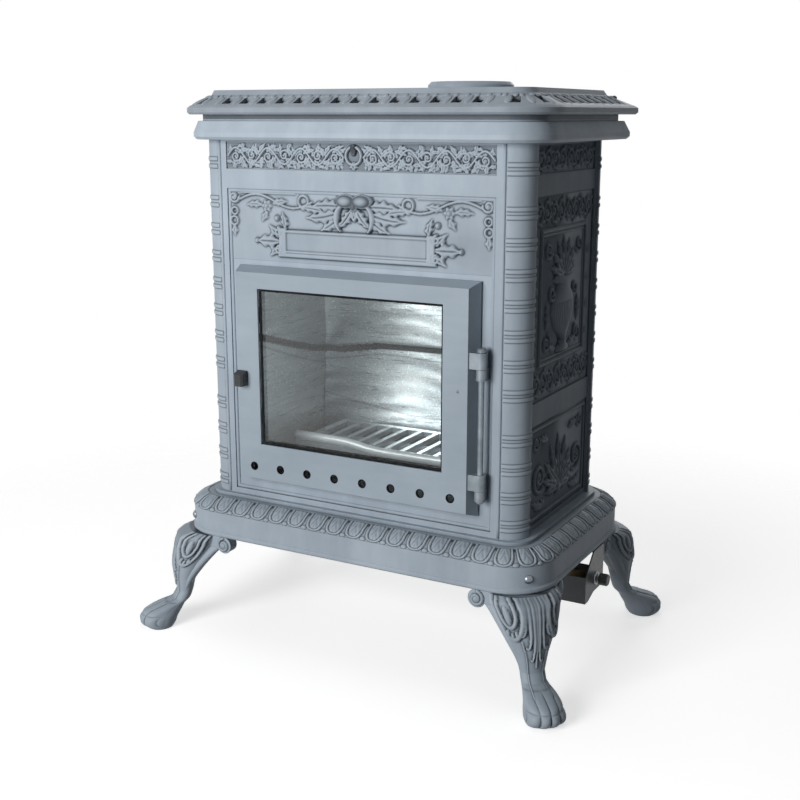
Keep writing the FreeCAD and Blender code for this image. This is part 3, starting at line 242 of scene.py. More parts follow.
finishOf = {
    "cast_iron": ironFinish, "bolt_steel": bareFinish, "bright_steel": linerFinish,
    "burner_steel": paleFinish, "brass": brassFinish, "ceramic": ceramicFinish, "black_sheet": blackFinish,
    "black_plastic": knobFinish, "hinge_steel": hingeFinish, "black_iron": blackFinish,
    "door_steel": doorFinish, "glass": glassFinish(), "seal_fibre": ropeFinish}
for part in frame["record"]["subparts"]:
    mesh = nodes[part["node"]].data
    mesh.materials.clear()
    mesh.materials.append(finishOf[part["material_slot"]])
for name, finish in (("side_plate_left", sideFinish), ("side_plate_right", sideFinish), ("lid", lidFinish),
                     ("cornice", corniceFinish), ("firebox_floor", floorShadeFinish)):
    nodes[name].data.materials[0] = finish
print("finishes:", len(finishOf))


# mesh tools

def gridFaces(rows, cols, loop=False, ring=False):
    # quads of a grid of points; loop joins the last column to the first, ring the last row to the first
    index = np.arange(rows * cols).reshape(rows, cols)
    if loop:
        index = np.hstack([index, index[:, :1]])
    if ring:
        index = np.vstack([index, index[:1]])
    return np.stack([index[:-1, :-1], index[:-1, 1:], index[1:, 1:], index[1:, :-1]], -1).reshape(-1, 4)


def tubeFaces(rows, cols):
    # a looped grid with one face over each end
    first = np.arange(cols)
    return gridFaces(rows, cols, True).tolist() + [first[::-1].tolist(), (first + (rows - 1) * cols).tolist()]


def sheetFaces(rows, cols):
    # an open grid with one face behind it, through its border points in order
    index = np.arange(rows * cols).reshape(rows, cols)
    rim = np.concatenate([index[:-1, 0], index[-1, :-1], index[:0:-1, -1], index[0, :0:-1]])
    return gridFaces(rows, cols).tolist() + [rim.tolist()]


def flipped(faces, flip):
    return [points[::-1] for points in faces] if flip else faces


def fullTurn(count):
    # even angles round a circle
    return np.arange(count) / count * 2 * np.pi


def addObject(name, data):
    thing = bpy.data.objects.new(name, data)
    bpy.context.scene.collection.objects.link(thing)
    return thing


def addMesh(name, points, faces, finish):
    mesh = bpy.data.meshes.new(name)
    mesh.from_pydata(points.reshape(-1, 3).tolist(), [], faces)
    mesh.materials.append(finish)
    return addObject(name, mesh)


def addPiece(name, points, faces, finish=ironFinish, slotName="cast_iron", body="stove", marks=None):
    # points in millimetres; marks are named values at the points
    piece = addMesh(name, points * mm, faces, finish)
    mesh = piece.data
    mesh.polygons.foreach_set("use_smooth", np.ones(len(mesh.polygons), bool))
    for mark, values in (marks or {}).items():
        layer = mesh.attributes.new(mark, "FLOAT", "POINT")
        layer.data.foreach_set("value", values.ravel().astype(np.float32))
    mesh.update()
    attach(piece, body)


def softened(field, times):
    # mean of each point and its four neighbours, repeated
    for _ in range(times):
        around = np.pad(field, 1, mode="edge")
        field = (field + around[:-2, 1:-1] + around[2:, 1:-1] + around[1:-1, :-2] + around[1:-1, 2:]) / 5
    return field


def shadeAndRubMarks(field, reach, depth):
    # below the local mean a hollow gets painted shade; above it a high spot is lightened as rubbed wear and
    # painted highlight
    step = (softened(field, reach) - field) / depth
    return {"hollow": np.clip(1.25 * step, 0, 1) ** 0.8, "rubbed": np.clip(-step - 0.25, 0, 1) * 0.55}


# carving: each motif raises the field of a sheet to its own rounded height

def halfRound(share):
    # rounded profile at a squared share of its half width
    return np.sqrt(np.clip(1 - share, 0, 1))


def raiseTo(sheet, height):
    sheet["h"] = np.maximum(sheet["h"], height)


def stroke(sheet, path, width, lift):
    # half-round cord along a path: height follows the distance to the nearest point over the width there
    path = np.asarray(path, float)
    width = np.broadcast_to(np.asarray(width, float), len(path))
    low, high = path.min(0) - width.max(), path.max(0) + width.max()
    x, z = sheet["x"], sheet["z"]
    near = (x > low[0]) & (x < high[0]) & (z > low[1]) & (z < high[1])
    away = (x[near][:, None] - path[:, 0]) ** 2 + (z[near][:, None] - path[:, 1]) ** 2
    share = (away / width ** 2).min(1) if near.any() else np.zeros(0)
    sheet["h"][near] = np.maximum(sheet["h"][near], lift * halfRound(share))


def leaf(sheet, x, z, angle, length, width, lift, bend=0.0, lobes=3):
    # lobed leaf: half width is a sine along its length with lobes, with a sunk middle vein
    turn = np.radians(angle)
    across, up = sheet["x"] - x, sheet["z"] - z
    along = (across * np.cos(turn) + up * np.sin(turn)) / length
    aside = -across * np.sin(turn) + up * np.cos(turn) - bend * length * along ** 2
    inside = (along > 0) & (along < 1)
    share = np.clip(along, 0.001, 0.999)
    half = width * np.sin(np.pi * share ** 0.8) * (1 + 0.24 * np.cos(2 * np.pi * lobes * share)) + 0.01
    vein = 1 - 0.5 * np.exp(-(aside / (0.16 * width)) ** 2)
    swell = halfRound((aside / half) ** 2) * vein
    raiseTo(sheet, np.where(inside, lift * swell, 0))


def rosette(sheet, x, z, radius, lift, petals=6):
    # flower: the edge swells with the angle, with a round boss in the middle and a groove about it
    across, up = sheet["x"] - x, sheet["z"] - z
    away = np.hypot(across, up)
    edge = radius * (0.84 + 0.16 * np.cos(petals * np.arctan2(up, across)))
    groove = 0.3 * np.exp(-((away - 0.42 * radius) / (0.12 * radius)) ** 2)
    petal = halfRound((away / edge) ** 2) * (0.75 - groove)
    boss = halfRound((away / (0.36 * radius)) ** 2)
    raiseTo(sheet, lift * np.maximum(petal, boss))


def dome(sheet, x, z, wide, tall, lift):
    # half ellipsoid
    share = ((sheet["x"] - x) / wide) ** 2 + ((sheet["z"] - z) / tall) ** 2
    raiseTo(sheet, lift * halfRound(share))


def slab(sheet, x0, x1, z0, z1, lift, edge=1.2):
    # flat raised rectangle with sloping sides
    inward = np.minimum.reduce([sheet["x"] - x0, x1 - sheet["x"], sheet["z"] - z0, z1 - sheet["z"]])
    raiseTo(sheet, lift * np.clip(inward / edge, 0, 1))


def band(sheet, x1, z0, z1, width, lift):
    # raised half-round frame along the inside of a rectangle that is even about x = 0
    inward = np.minimum.reduce([x1 - sheet["x"], sheet["z"] - z0, z1 - sheet["z"]])
    share = (inward - width / 2) / (width / 2)
    raiseTo(sheet, lift * halfRound(share ** 2))


def spiral(x, z, outer, inner, turns, start, steps=70):
    # radius shrinks evenly in proportion while the angle turns
    share = np.linspace(0, 1, steps)
    radius = outer * (inner / outer) ** share
    angle = np.radians(start) + 2 * np.pi * turns * share
    return np.stack([x + radius * np.cos(angle), z + radius * np.sin(angle)], 1)


def coil(sheet, x, z, outer, inner, turns, start, wide, thin, lift, steps=70):
    # tapering cord along a spiral
    stroke(sheet, spiral(x, z, outer, inner, turns, start, steps), np.linspace(wide, thin, steps), lift)


def scroll(sheet, x, z, outer, turns, start, width, lift):
    # tapering spiral that ends in a flower
    coil(sheet, x, z, outer, outer * 0.3, turns, start, width, width * 0.6, lift)
    rosette(sheet, x, z, outer * 0.4, lift * 1.15, 5)


def runningVine(sheet, x0, x1, middle, swing, wave, lift):
    # sine-wave stem with a curled branch and leaves in each half wave
    count = max(2, round(2 * (x1 - x0) / wave))
    half = (x1 - x0) / count
    x = np.linspace(x0, x1, 50 * count)
    stem = np.stack([x, middle + swing * np.sin(np.pi * (x - x0) / half)], 1)
    stroke(sheet, stem, 1.7, lift)
    for k in range(count):
        side = 1 - 2 * (k % 2)
        centre = x0 + (k + 0.5) * half
        size = min(0.4 * half, 0.8 * swing)
        heart = middle - side * 0.1 * swing
        path = spiral(0, 0, size, size * 0.32, 1.2, 180) * [1, side] + [centre, heart]
        stroke(sheet, path, np.linspace(1.6, 1.1, len(path)), lift * 0.9)
        rosette(sheet, centre, heart, size * 0.42, lift * 1.1, 5)
        leaf(sheet, centre - 0.5 * half, middle, -side * 62, swing * 1.5, 3.4, lift, 0.2 * side, 3)
        leaf(sheet, centre + 0.2 * half, middle - side * 0.85 * swing, side * 14, 0.55 * half, 2.8,
             lift * 0.9, -0.25 * side, 3)
        leaf(sheet, centre - 0.1 * half, middle + side * swing, 180 - side * 30, 0.42 * half, 2.6, lift * 0.9,
             0.2 * side, 2)


def carveAll(sheet, motifs):
    # rows of values for each carving function, in the order in which it takes them
    for carve, rows in motifs.items():
        for row in rows:
            carve(sheet, *row)


relief = {"cover": 0.12, "sunk": -0.5}
sides = {
    "front": {"along": (1, 0, 0), "out": (0, -1, 0)}, "right": {"along": (0, 1, 0), "out": (1, 0, 0)},
    "left": {"along": (0, -1, 0), "out": (-1, 0, 0)}}


def carvedSheet(name, face, ground, box, step, carve, finish=ironFinish, slotName="cast_iron", markReach=(8, 1.6)):
    # height field over a rectangle: point = ground + along + up + height outwards; its border is sunk
    x0, x1, z0, z1 = box
    x = np.linspace(x0, x1, int((x1 - x0) / step) + 1)
    z = np.linspace(z0, z1, int((z1 - z0) / step) + 1)
    place = np.meshgrid(x, z)
    empty = np.zeros_like(place[0])
    sheet = {"x": np.abs(place[0]), "across": place[0], "z": place[1], "h": empty, "shade": empty.copy()}
    carve(sheet)
    field = softened(sheet["h"], 1) + relief["cover"]
    # hollows get painted shade and high spots are lightened; the carving's own shade marks join the hollows
    marks = shadeAndRubMarks(field, *markReach)
    marks["hollow"] = np.maximum(marks["hollow"], sheet["shade"])
    field[[0, -1]] = relief["sunk"]
    field[:, [0, -1]] = relief["sunk"]
    along, out = np.array(sides[face]["along"]), np.array(sides[face]["out"])
    points = place[0][..., None] * along + place[1][..., None] * [0, 0, 1] + (ground + field)[..., None] * out
    addPiece(name, points, sheetFaces(*field.shape), finish, slotName, marks=marks)


# front plate

frieze = {"ground": 142.2, "box": (-213.2, 213.2, 708.8, 745.2), "step": 0.8, "wave": 58.0, "swing": 11.0,
          "lift": 3.4, "leafPitch": 6.2, "underPitch": 4.3, "groundShade": 0.44, "bossShade": 0.95}


def foliage(sheet, x0, x1, middle, reach, pitch, lift):
    # crowded leaves that alternate above and below the stem, each turned on by a steady angle
    for k in range(int((x1 - x0) / pitch)):
        side = 1 - 2 * (k % 2)
        angle = side * (35 + 47 * k % 120)
        leaf(sheet, x0 + (k + 0.3) * pitch, middle + side * reach * (0.1 + 0.12 * (k % 3)), angle,
             reach * (0.9 + 0.14 * (k % 4)), 3.6, lift * (0.8 + 0.12 * (k % 3)), 0.35 * side, 2 + k % 2)


def carveFrieze(sheet):
    # two layers of leaves under a running vine, with a ring and a drop in the middle
    foliage(sheet, 15, 211, 726, 13, frieze["underPitch"], 0.6 * frieze["lift"])
    foliage(sheet, 18, 210, 727, 16, frieze["leafPitch"], frieze["lift"])
    runningVine(sheet, 16, 211, 727, frieze["swing"], frieze["wave"], frieze["lift"])
    coil(sheet, 0, 729, 12, 12, 1, 0, 2.2, 2.2, 4.2)
    leaf(sheet, 3, 720, 210, 16, 4, 3.2, 0.1)
    leaf(sheet, 0, 719, 270, 10, 6, 3.6, 0.0, 2)
    sheet["shade"][sheet["h"] < 0.5] = frieze["groundShade"]
    # keyhole boss, blackened
    dome(sheet, 0, 737, 4.6, 8, 6.0)
    sheet["shade"][(sheet["x"] / 5) ** 2 + ((sheet["z"] - 737) / 8.4) ** 2 < 1] = frieze["bossShade"]


carvedSheet("frontFrieze", "front", frieze["ground"], frieze["box"], frieze["step"], carveFrieze,
            markReach=(3, 0.5))

crest = {"ground": 141.0, "box": (-213.0, 213.0, 577.0, 679.0), "step": 0.85, "lift": 3.4,
         "plateHalf": 118.0, "plateLow": 591.0, "plateHigh": 624.0, "plateShade": 0.1, "bowFrom": 6.5,
         "bowTop": 11.2, "bowShade": 0.75}
crestMotifs = {
    leaf: (
        # strapwork end
        (124, 607, 0, 42, 9, 4.6, 0.0, 3), (126, 612, 62, 24, 6, 4.2, -0.3, 2),
        (126, 602, -62, 22, 6, 4.2, 0.3, 2), (116, 626, 100, 22, 6, 4.4, -0.4, 3),
        # under the bow, and sprays to the side
        (4, 657, -66, 35, 7, 5.4, 0.3, 4), (2, 655, -96, 22, 4, 5.0, -0.2, 2),
        (22, 660, 4, 50, 8, 4.6, -0.1, 4), (24, 652, -22, 56, 9, 4.6, 0.22, 4),
        (26, 643, -42, 34, 7, 4.2, 0.2, 3), (52, 652, 18, 34, 6, 4.0, -0.2, 3),
        # about the flower, and the last drop
        (136, 660, 160, 26, 5, 3.4, 0.2, 3), (154, 658, 10, 28, 5, 3.4, -0.2, 3),
        (146, 650, -70, 18, 5, 3.4, 0.2, 2), (204, 628, 270, 17, 5, 3.4, 0.0, 2)),
    # studs, puffs and knot of the bow, tendril's end, eye of the corner volute
    dome: (
        (137, 616, 3.4, 3.4, 5.6), (137, 598, 3.4, 3.4, 5.6), (164, 607, 3.4, 3.4, 5.6),
        (129, 640, 4, 4, 5.0), (13, 668, 17, 10.5, 11.0), (0, 661, 7, 8, 8.6), (84, 656, 4.5, 4, 3.4),
        (203, 668, 3.2, 3.2, 5.4)),
    # plate's ends, ring on the tendril, corner volute and two hanging rings
    coil: (
        (127, 595, 6, 2, 1.3, 90, 2.0, 2.0, 5.2), (127, 621, 6, 2, 1.3, 90, 2.0, 2.0, 5.2),
        (84, 665, 8, 8, 1, 0, 2.0, 2.0, 3.4), (203, 668, 8.5, 2.6, 1.5, 180, 2.3, 1.4, 4.2),
        (203, 648, 5, 5, 1, 0, 1.6, 1.6, 3.4), (204, 634, 6, 6, 1, 0, 1.7, 1.7, 3.4)),
    rosette: ((146, 657, 9.5, 5.2, 6),)}


def carveCrest(sheet):
    # plain plate in a raised frame; a bow, leaf sprays and a tendril to each corner above it
    half, low, high = crest["plateHalf"], crest["plateLow"], crest["plateHigh"]
    slab(sheet, -1, half + 10, low - 6, low + 1, 4.0)
    slab(sheet, -1, half, low, high, 2.6)
    band(sheet, half, low, high, 4.2, 4.6)
    slab(sheet, half - 6, half + 8, low - 2, high + 3, 4.4)
    # painted shade on the plain plate, for the shadows of its letters
    plate = (sheet["x"] < half - 4) & (sheet["z"] > low + 4) & (sheet["z"] < high - 4)
    sheet["shade"][plate] = crest["plateShade"]
    carveAll(sheet, crestMotifs)
    # curled tails of the bow; its puffs get painted shade on their flanks, thinning out towards their tops
    turn = np.radians(np.linspace(84, -58, 60))
    tail = np.stack([14 + 15 * np.cos(turn), 643 + 20 * np.sin(turn)], 1)
    stroke(sheet, tail, np.interp(np.linspace(0, 1, 60), (0, 0.55, 1), (2.6, 5.4, 1.2)), 6.4)
    puff = sheet["h"] > crest["bowFrom"]
    sheet["shade"][puff] = crest["bowShade"] * np.clip((crest["bowTop"] - sheet["h"][puff]) / 3.0, 0.1, 1)
    # tendril as one wave, and the thin rod above it
    x = np.linspace(70, 196, 160)
    stroke(sheet, np.stack([x, 664 - 9 * np.sin((x - 70) / 126 * 2 * np.pi)], 1), 1.7, crest["lift"])
    stroke(sheet, np.stack([np.linspace(98, 192, 90), np.full(90, 675.0)], 1), 1.3, 2.2)


carvedSheet("frontCrest", "front", crest["ground"], crest["box"], crest["step"], carveCrest, markReach=(6, 1.1))
print("front carving done")


# side plates

sidePanel = {"ground": 251.6, "half": 108.8, "low": (226.8, 368.2), "high": (401.8, 679.2),
             "frieze": (708.8, 745.2), "step": 1.0, "frameHalf": 84.0, "frameLow": 448.0, "frameHigh": 635.0}
urn = {"levels": (460, 466, 470, 478, 484, 498, 516, 534, 548, 556, 562, 566),
       "halfWidths": (22, 23, 13, 10, 15, 33, 43, 40, 27, 24, 34, 35), "lift": 7.0}


def carveSideFrieze(sheet):
    runningVine(sheet, 3, 105, 727, 12, 50, 3.2)


def carveSideHigh(sheet):
    # framed urn with leaves and scrolls, between two vines
    half, low, high = sidePanel["frameHalf"], sidePanel["frameLow"], sidePanel["frameHigh"]
    runningVine(sheet, 2, 104, 657, 14, 50, 3.4)
    runningVine(sheet, 2, 104, 425, 14, 50, 3.4)
    band(sheet, half, low, high, 5, 3.4)
    band(sheet, half - 7, low + 7, high - 7, 2.4, 2.0)
    for z in (475, 515, 555, 595):
        rosette(sheet, 96, z, 6, 3.0, 6)
    # urn: half width follows its profile, height is round across
    wide = np.interp(sheet["z"], urn["levels"], urn["halfWidths"], left=0.01, right=0.01)
    share = sheet["x"] / wide
    flute = 1 - 0.14 * np.abs(np.cos(7 * np.pi * share)) * ((sheet["z"] > 484) & (sheet["z"] < 530))
    raiseTo(sheet, urn["lift"] * flute * halfRound(share ** 2))
    coil(sheet, 42, 545, 11, 4, 1.2, 200, 2.2, 2.2, 4.5)
    for angle, length in ((90, 58), (66, 56), (42, 54), (18, 48), (-6, 40)):
        leaf(sheet, 0, 566, angle, length, 7.5, 4.8, 0.0, 4)
    scroll(sheet, 56, 606, 13, 1.3, 210, 2.2, 4.2)
    scroll(sheet, 58, 478, 14, 1.3, 120, 2.2, 4.0)
    leaf(sheet, 58, 534, -96, 40, 6, 4.0, 0.1, 4)
    leaf(sheet, 24, 466, 6, 30, 5, 3.6, 0.2, 3)


def carveSideLow(sheet):
    # framed fan of leaves between scrolls
    low, high = sidePanel["low"]
    band(sheet, 104, low + 4, high - 4, 5, 3.0)
    for angle, length in ((90, 78), (66, 74), (42, 66), (18, 58), (-4, 46)):
        leaf(sheet, 0, 262, angle, length, 8.5, 5.0, 0.0, 4)
    dome(sheet, 0, 258, 11, 9, 6.0)
    scroll(sheet, 70, 290, 24, 1.5, 230, 2.8, 4.6)
    scroll(sheet, 82, 342, 12, 1.3, 160, 2.0, 3.8)
    leaf(sheet, 46, 250, -18, 40, 6, 4.0, 0.25, 4)
    leaf(sheet, 40, 338, 20, 32, 6, 4.0, -0.2, 3)
    leaf(sheet, 60, 246, 8, 36, 5, 3.6, 0.2, 3)


sideCarvings = (("Frieze", "frieze", carveSideFrieze), ("Panel", "high", carveSideHigh),
                ("LowPanel", "low", carveSideLow))
for side in ("left", "right"):
    for label, span, carve in sideCarvings:
        box = (-sidePanel["half"], sidePanel["half"]) + sidePanel[span]
        carvedSheet(side + label, side, sidePanel["ground"], box, sidePanel["step"], carve, sideFinish)
print("side carving done")


# columns

column = {"centre": (229.0, 114.6), "radius": 30.0, "low": 218.3, "high": 748.7, "rows": 760, "cols": 40,
          "turns": (-91, 1), "cover": 0.3, "sunk": -0.8, "first": (237.3, 419.5, 716.2), "counts": (4, 7, 1),
          "pitch": 40.15, "ringOff": 5.25, "ringHalf": 3.0, "ringLift": 1.35, "lineShade": 0.75}
cornersOf = (("FrontLeft", -1, -1), ("FrontRight", 1, -1), ("RearLeft", -1, 1), ("RearRight", 1, 1))


def columnFace():
    # quarter cylinder; the radius swells by half-round rings in pairs, with painted shade as a dark line
    # along each ring's edge and ring tops lightened a little as rubbed wear and painted highlight
    level = np.linspace(column["low"], column["high"], column["rows"])
    turn = np.radians(np.linspace(*column["turns"], column["cols"]))
    pairs = [first + column["pitch"] * np.arange(n) for first, n in zip(column["first"], column["counts"])]
    rings = (np.concatenate(pairs)[:, None] + np.array([-1, 1]) * column["ringOff"]).ravel()
    near = np.abs(level[:, None] - rings).min(1) / column["ringHalf"]
    field = column["ringLift"] * halfRound(near ** 4)[:, None] + 0 * turn
    line = column["lineShade"] * np.exp(-((near - 1.05) / 0.22) ** 2)[:, None] + 0 * turn
    marks = {"hollow": line, "rubbed": 0.12 * (field > 1.2)}
    field += column["cover"]
    field[[0, -1]] = column["sunk"]
    field[:, [0, -1]] = column["sunk"]
    radius = column["radius"] + field
    points = [column["centre"][0] + radius * np.cos(turn), radius * np.sin(turn) - column["centre"][1]]
    return np.stack(points + [level[:, None] + 0 * turn], -1), marks


points, marks = columnFace()
faces = sheetFaces(*points.shape[:2])
for label, side, end in cornersOf:
    addPiece("columnFace" + label, points * [side, -end, 1], flipped(faces, side * end > 0), marks=marks)
print("columns done")


# beads on the front plate

beads = {"panel": (211.5, 229.0, 677.5, 141.2, 2.6), "strip": (225.6, 219.5, 747.5, 144.7, 2.2),
         "seal": (148.0, 309.9, 538.0, 162.2, 2.0), "around": 14, "steps": 30}


def rodAlong(path, across, radius):
    # circle carried along a path on the front; across is the in-plane direction at each point
    turn = fullTurn(beads["around"])
    side = across[:, None] * np.cos(turn)[None, :, None]
    return path[:, None] + radius * (side + np.array([0, -1, 0]) * np.sin(turn)[None, :, None])


def frameBead(half, low, high, ground, radius):
    # mitred frame: the circle is carried round a rectangle and stretched at the corners
    mitre = np.array([(-1, 0, -1), (1, 0, -1), (1, 0, 1), (-1, 0, 1)], float)
    place = np.array([(half * x, -ground, low if z < 0 else high) for x, _, z in mitre])
    edge = np.array([(0, 0, -1), (1, 0, 0), (0, 0, 1), (-1, 0, 0)], float)
    share = np.linspace(0, 1, beads["steps"], endpoint=False)[:, None, None]
    path = (place + (np.roll(place, -1, 0) - place) * share).transpose(1, 0, 2).reshape(-1, 3)
    across = np.where(share == 0, mitre, edge).transpose(1, 0, 2).reshape(-1, 3)
    return rodAlong(path, across, radius), gridFaces(len(path), beads["around"], True, True)[:, ::-1].tolist()


def stripBead(side):
    # straight rod beside a column
    x, low, high, ground, radius = beads["strip"]
    level = np.linspace(low, high, beads["steps"])
    path = np.stack([0 * level + side * x, 0 * level - ground, level], 1)
    faces = flipped(tubeFaces(beads["steps"], beads["around"]), True)
    return rodAlong(path, np.tile([1.0, 0, 0], (beads["steps"], 1)), radius), faces


addPiece("panelBead", *frameBead(*beads["panel"]))
addPiece("paneSeal", *frameBead(*beads["seal"]), ropeFinish, "seal_fibre", "door")
for label, side in (("Left", -1), ("Right", 1)):
    addPiece("stripBead" + label, *stripBead(side))
print("beads done")


# bright lining of the firebox and the rolled lip of the grate

lining = {"half": 203.0, "back": 118.0, "front": -140.0, "low": 238.5, "high": 598.0, "step": 2.0,
          "standOff": 2.2, "lap": 3.0, "gap": 11.0, "markReach": (6, 4.0),
          "seamX": (-204, -170, -102, 8, 110, 204), "seamZ": (410, 411, 421, 421, 412, 416),
          "seamY": (-142, -81, -12, 53, 118), "seamSide": (472, 455, 435, 418, 405),
          "shadeTop": 292.0, "shadeFade": 22.0, "lowShade": 0.85, "lean": 22.0, "leanEnd": 30.0, "foot": 11.0,
          "footTop": 420.0, "crease": 0.6, "creaseDrop": 24.0, "creaseSwing": 5.0, "creaseWidth": 1.4,
          "lowX": (-204, -140, -38, 60, 204), "lowZ": (332, 320, 304, 302, 306), "lowWidth": 1.5,
          "cornerShade": 0.13, "cornerWidth": 95.0}


def lapped(sheet, seam):
    # buckled sheet: slow waves and fine creases, the upper half lapped over the lower; painted shadow in a
    # gap below the lap, painted shade along a crease under it, and painted shade low down under the grate
    x, z = sheet["across"], sheet["z"]
    slow = 0.9 * np.sin(x / 57 + z / 71) + 0.7 * np.sin(z / 31 + 0.9 * np.sin(x / 83))
    fine = 0.22 * np.sin(z / 4.1 + 1.9 * np.sin(x / 61) + 0.9 * np.sin(x / 23))
    fine = fine * (0.6 + 0.4 * np.sin(x / 47 + z / 29))
    sheet["h"] += lining["standOff"] + slow + fine + lining["lap"] * (z > seam)
    gap = np.where((z < seam) & (z > seam - lining["gap"]), 1.0, 0.0)
    off = z - seam + lining["creaseDrop"] + lining["creaseSwing"] * np.sin(x / 74)
    crease = lining["crease"] * np.exp(-(off / lining["creaseWidth"]) ** 2)
    lowShadeBand = lining["lowShade"] * np.clip((lining["shadeTop"] - z) / lining["shadeFade"], 0, 1)
    sheet["shade"] = np.maximum.reduce([gap, crease, lowShadeBand])


def carveBackLining(sheet):
    # the back sheet stands off its wall at the left and, in a slow curve, at its foot
    away = np.clip((lining["footTop"] - sheet["z"]) / (lining["footTop"] - lining["low"]), 0, 1)
    aside = np.clip((lining["leanEnd"] - sheet["across"]) / (lining["leanEnd"] + lining["half"]), 0, 1)
    sheet["h"] = lining["lean"] * aside ** 1.1 + lining["foot"] * away ** 1.5
    lapped(sheet, np.interp(sheet["across"], lining["seamX"], lining["seamZ"]))
    # one more crease low down with painted shade along it, and painted shade towards the left corner
    off = sheet["z"] - np.interp(sheet["across"], lining["lowX"], lining["lowZ"])
    low = lining["crease"] * np.exp(-(off / lining["lowWidth"]) ** 2)
    near = np.clip(1 - (sheet["across"] + lining["half"]) / lining["cornerWidth"], 0, 1)
    sheet["shade"] = np.maximum.reduce([sheet["shade"], low, lining["cornerShade"] * near])


def carveLeftLining(sheet):
    # both side sheets are drawn from the front edge to the back
    lapped(sheet, np.interp(sheet["across"], lining["seamY"], lining["seamSide"]))


def carveRightLining(sheet):
    lapped(sheet, np.interp(-sheet["across"], lining["seamY"], lining["seamSide"]))


half, front, back = lining["half"], lining["front"], lining["back"] - 1
for label, face, ground, span, carve in (
        ("Back", "front", -lining["back"], (-half, half), carveBackLining),
        ("Left", "right", -half - 1, (front, back), carveLeftLining),
        ("Right", "left", -half - 1, (-back, -front), carveRightLining)):
    carvedSheet("lining" + label, face, ground, span + (lining["low"], lining["high"]), lining["step"], carve,
                linerFinish, "bright_steel", lining["markReach"])

lip = {"x": (-160.0, 140.0), "y": -62.0, "level": 289.0, "rise": 9.0, "bendAt": -42.0, "bend": 13.0,
       "radius": 5.4, "tall": 1.3, "steps": 90, "around": 16}


def grateLip():
    # oval rod along the front of the grate that steps down in a smooth bend
    x = np.linspace(*lip["x"], lip["steps"])
    level = lip["level"] + lip["rise"] / (1 + np.exp((x - lip["bendAt"]) / lip["bend"]))
    turn = fullTurn(lip["around"])
    size = lip["radius"] * np.clip(np.minimum(x - x[0], x[-1] - x) / 2 + 0.3, 0, 1) ** 0.5
    y = lip["y"] + size[:, None] * np.cos(turn)
    z = level[:, None] + lip["tall"] * size[:, None] * np.sin(turn)
    return np.stack([x[:, None] + 0 * y, y, z], -1), tubeFaces(lip["steps"], lip["around"])


addPiece("grateLip", *grateLip(), lipFinish, "burner_steel")
print("lining done")


# lid: a leaf and two buds on each bar of the pierced border

gallery = {"half": 291.5, "front": -177.5, "rear": 190.5, "corner": 68.5, "pitch": 30.0, "runs": (15, 18, 9),
           "sideMiddle": 24.75, "level": 796.0, "start": 4.0, "slope": 15 / 32, "leafIn": 18.0,
           "leafLong": 11.0, "leafWide": 4.8, "leafLift": 1.6, "budIn": 30.5, "budOff": 6.8, "budSize": 3.8,
           "budLift": 1.7,
           "cornerTurns": (13, 45, 77), "around": 14, "out": (1.0, 1.0, 0.82, 0.5, 0.12),
           "rise": (-0.5, 0.0, 0.57, 0.87, 1.0)}


def barPlaces():
    # foot on the lid's edge and inward direction of every bar, run by run
    half, front, rear, corner = gallery["half"], gallery["front"], gallery["rear"], gallery["corner"]
    across, behind, beside = ((np.arange(n) - (n - 1) / 2) * gallery["pitch"] for n in gallery["runs"])
    beside = beside + gallery["sideMiddle"]
    feet = [np.stack([across, 0 * across + front], 1), np.stack([behind, 0 * behind + rear], 1)]
    inward = [np.tile([0.0, 1.0], (len(across), 1)), np.tile([0.0, -1.0], (len(behind), 1))]
    turn = np.radians(gallery["cornerTurns"])
    outward = np.stack([np.sin(turn), -np.cos(turn)], 1)
    for side in (-1, 1):
        feet.append(np.stack([0 * beside + side * half, beside], 1))
        inward.append(np.tile([-float(side), 0.0], (len(beside), 1)))
        feet.append(np.array([side * (half - corner), front + corner]) + corner * outward * [side, 1])
        inward.append(-outward * [side, 1])
    return np.concatenate(feet), np.concatenate(inward)


def lidGallery():
    # half ellipsoids: a long one in the middle of the bar and a round one at each side of its inner end
    feet, inward = barPlaces()
    lumps = np.array([(0, gallery["leafIn"], gallery["leafWide"], gallery["leafLong"], gallery["leafLift"])]
                     + [(side * gallery["budOff"], gallery["budIn"], gallery["budSize"], gallery["budSize"],
                         gallery["budLift"]) for side in (-1, 1)])
    turn = fullTurn(gallery["around"])
    out = np.array(gallery["out"])[:, None]
    rise = np.array(gallery["rise"])[:, None] + 0 * turn
    across = lumps[:, 0, None, None] + lumps[:, 2, None, None] * out * np.cos(turn)
    inset = lumps[:, 1, None, None] + lumps[:, 3, None, None] * out * np.sin(turn)
    level = gallery["level"] + (inset - gallery["start"]) * gallery["slope"] + lumps[:, 4, None, None] * rise
    edge = np.stack([-inward[:, 1], inward[:, 0]], 1)
    flat = (feet[:, None, None, None] + across[..., None] * edge[:, None, None, None]
            + inset[..., None] * inward[:, None, None, None])
    points = np.concatenate([flat, np.broadcast_to(level, flat.shape[:-1])[..., None]], -1)
    rows, cols = rise.shape
    grid = gridFaces(rows, cols, True)[:, ::-1]
    starts = np.arange(len(feet) * len(lumps))[:, None, None] * rows * cols
    faces = (starts + grid).reshape(-1, 4).tolist()
    foot = starts[:, 0] + np.arange(cols)
    top = foot[:, ::-1] + (rows - 1) * cols
    return points, faces + top.tolist() + foot.tolist()


addPiece("lidGallery", *lidGallery(), lidFinish)
print("lid gallery done")


# door: near-black rims inside the vents as painted shade, and a small rivet on the right stile

vents = {"count": 8, "pitch": 46.6, "level": 273.0, "front": -167.3, "around": 32,
         "profile": ((6.7, 0.1), (6.55, -0.2), (5.1, -0.2), (5.0, 2.6))}


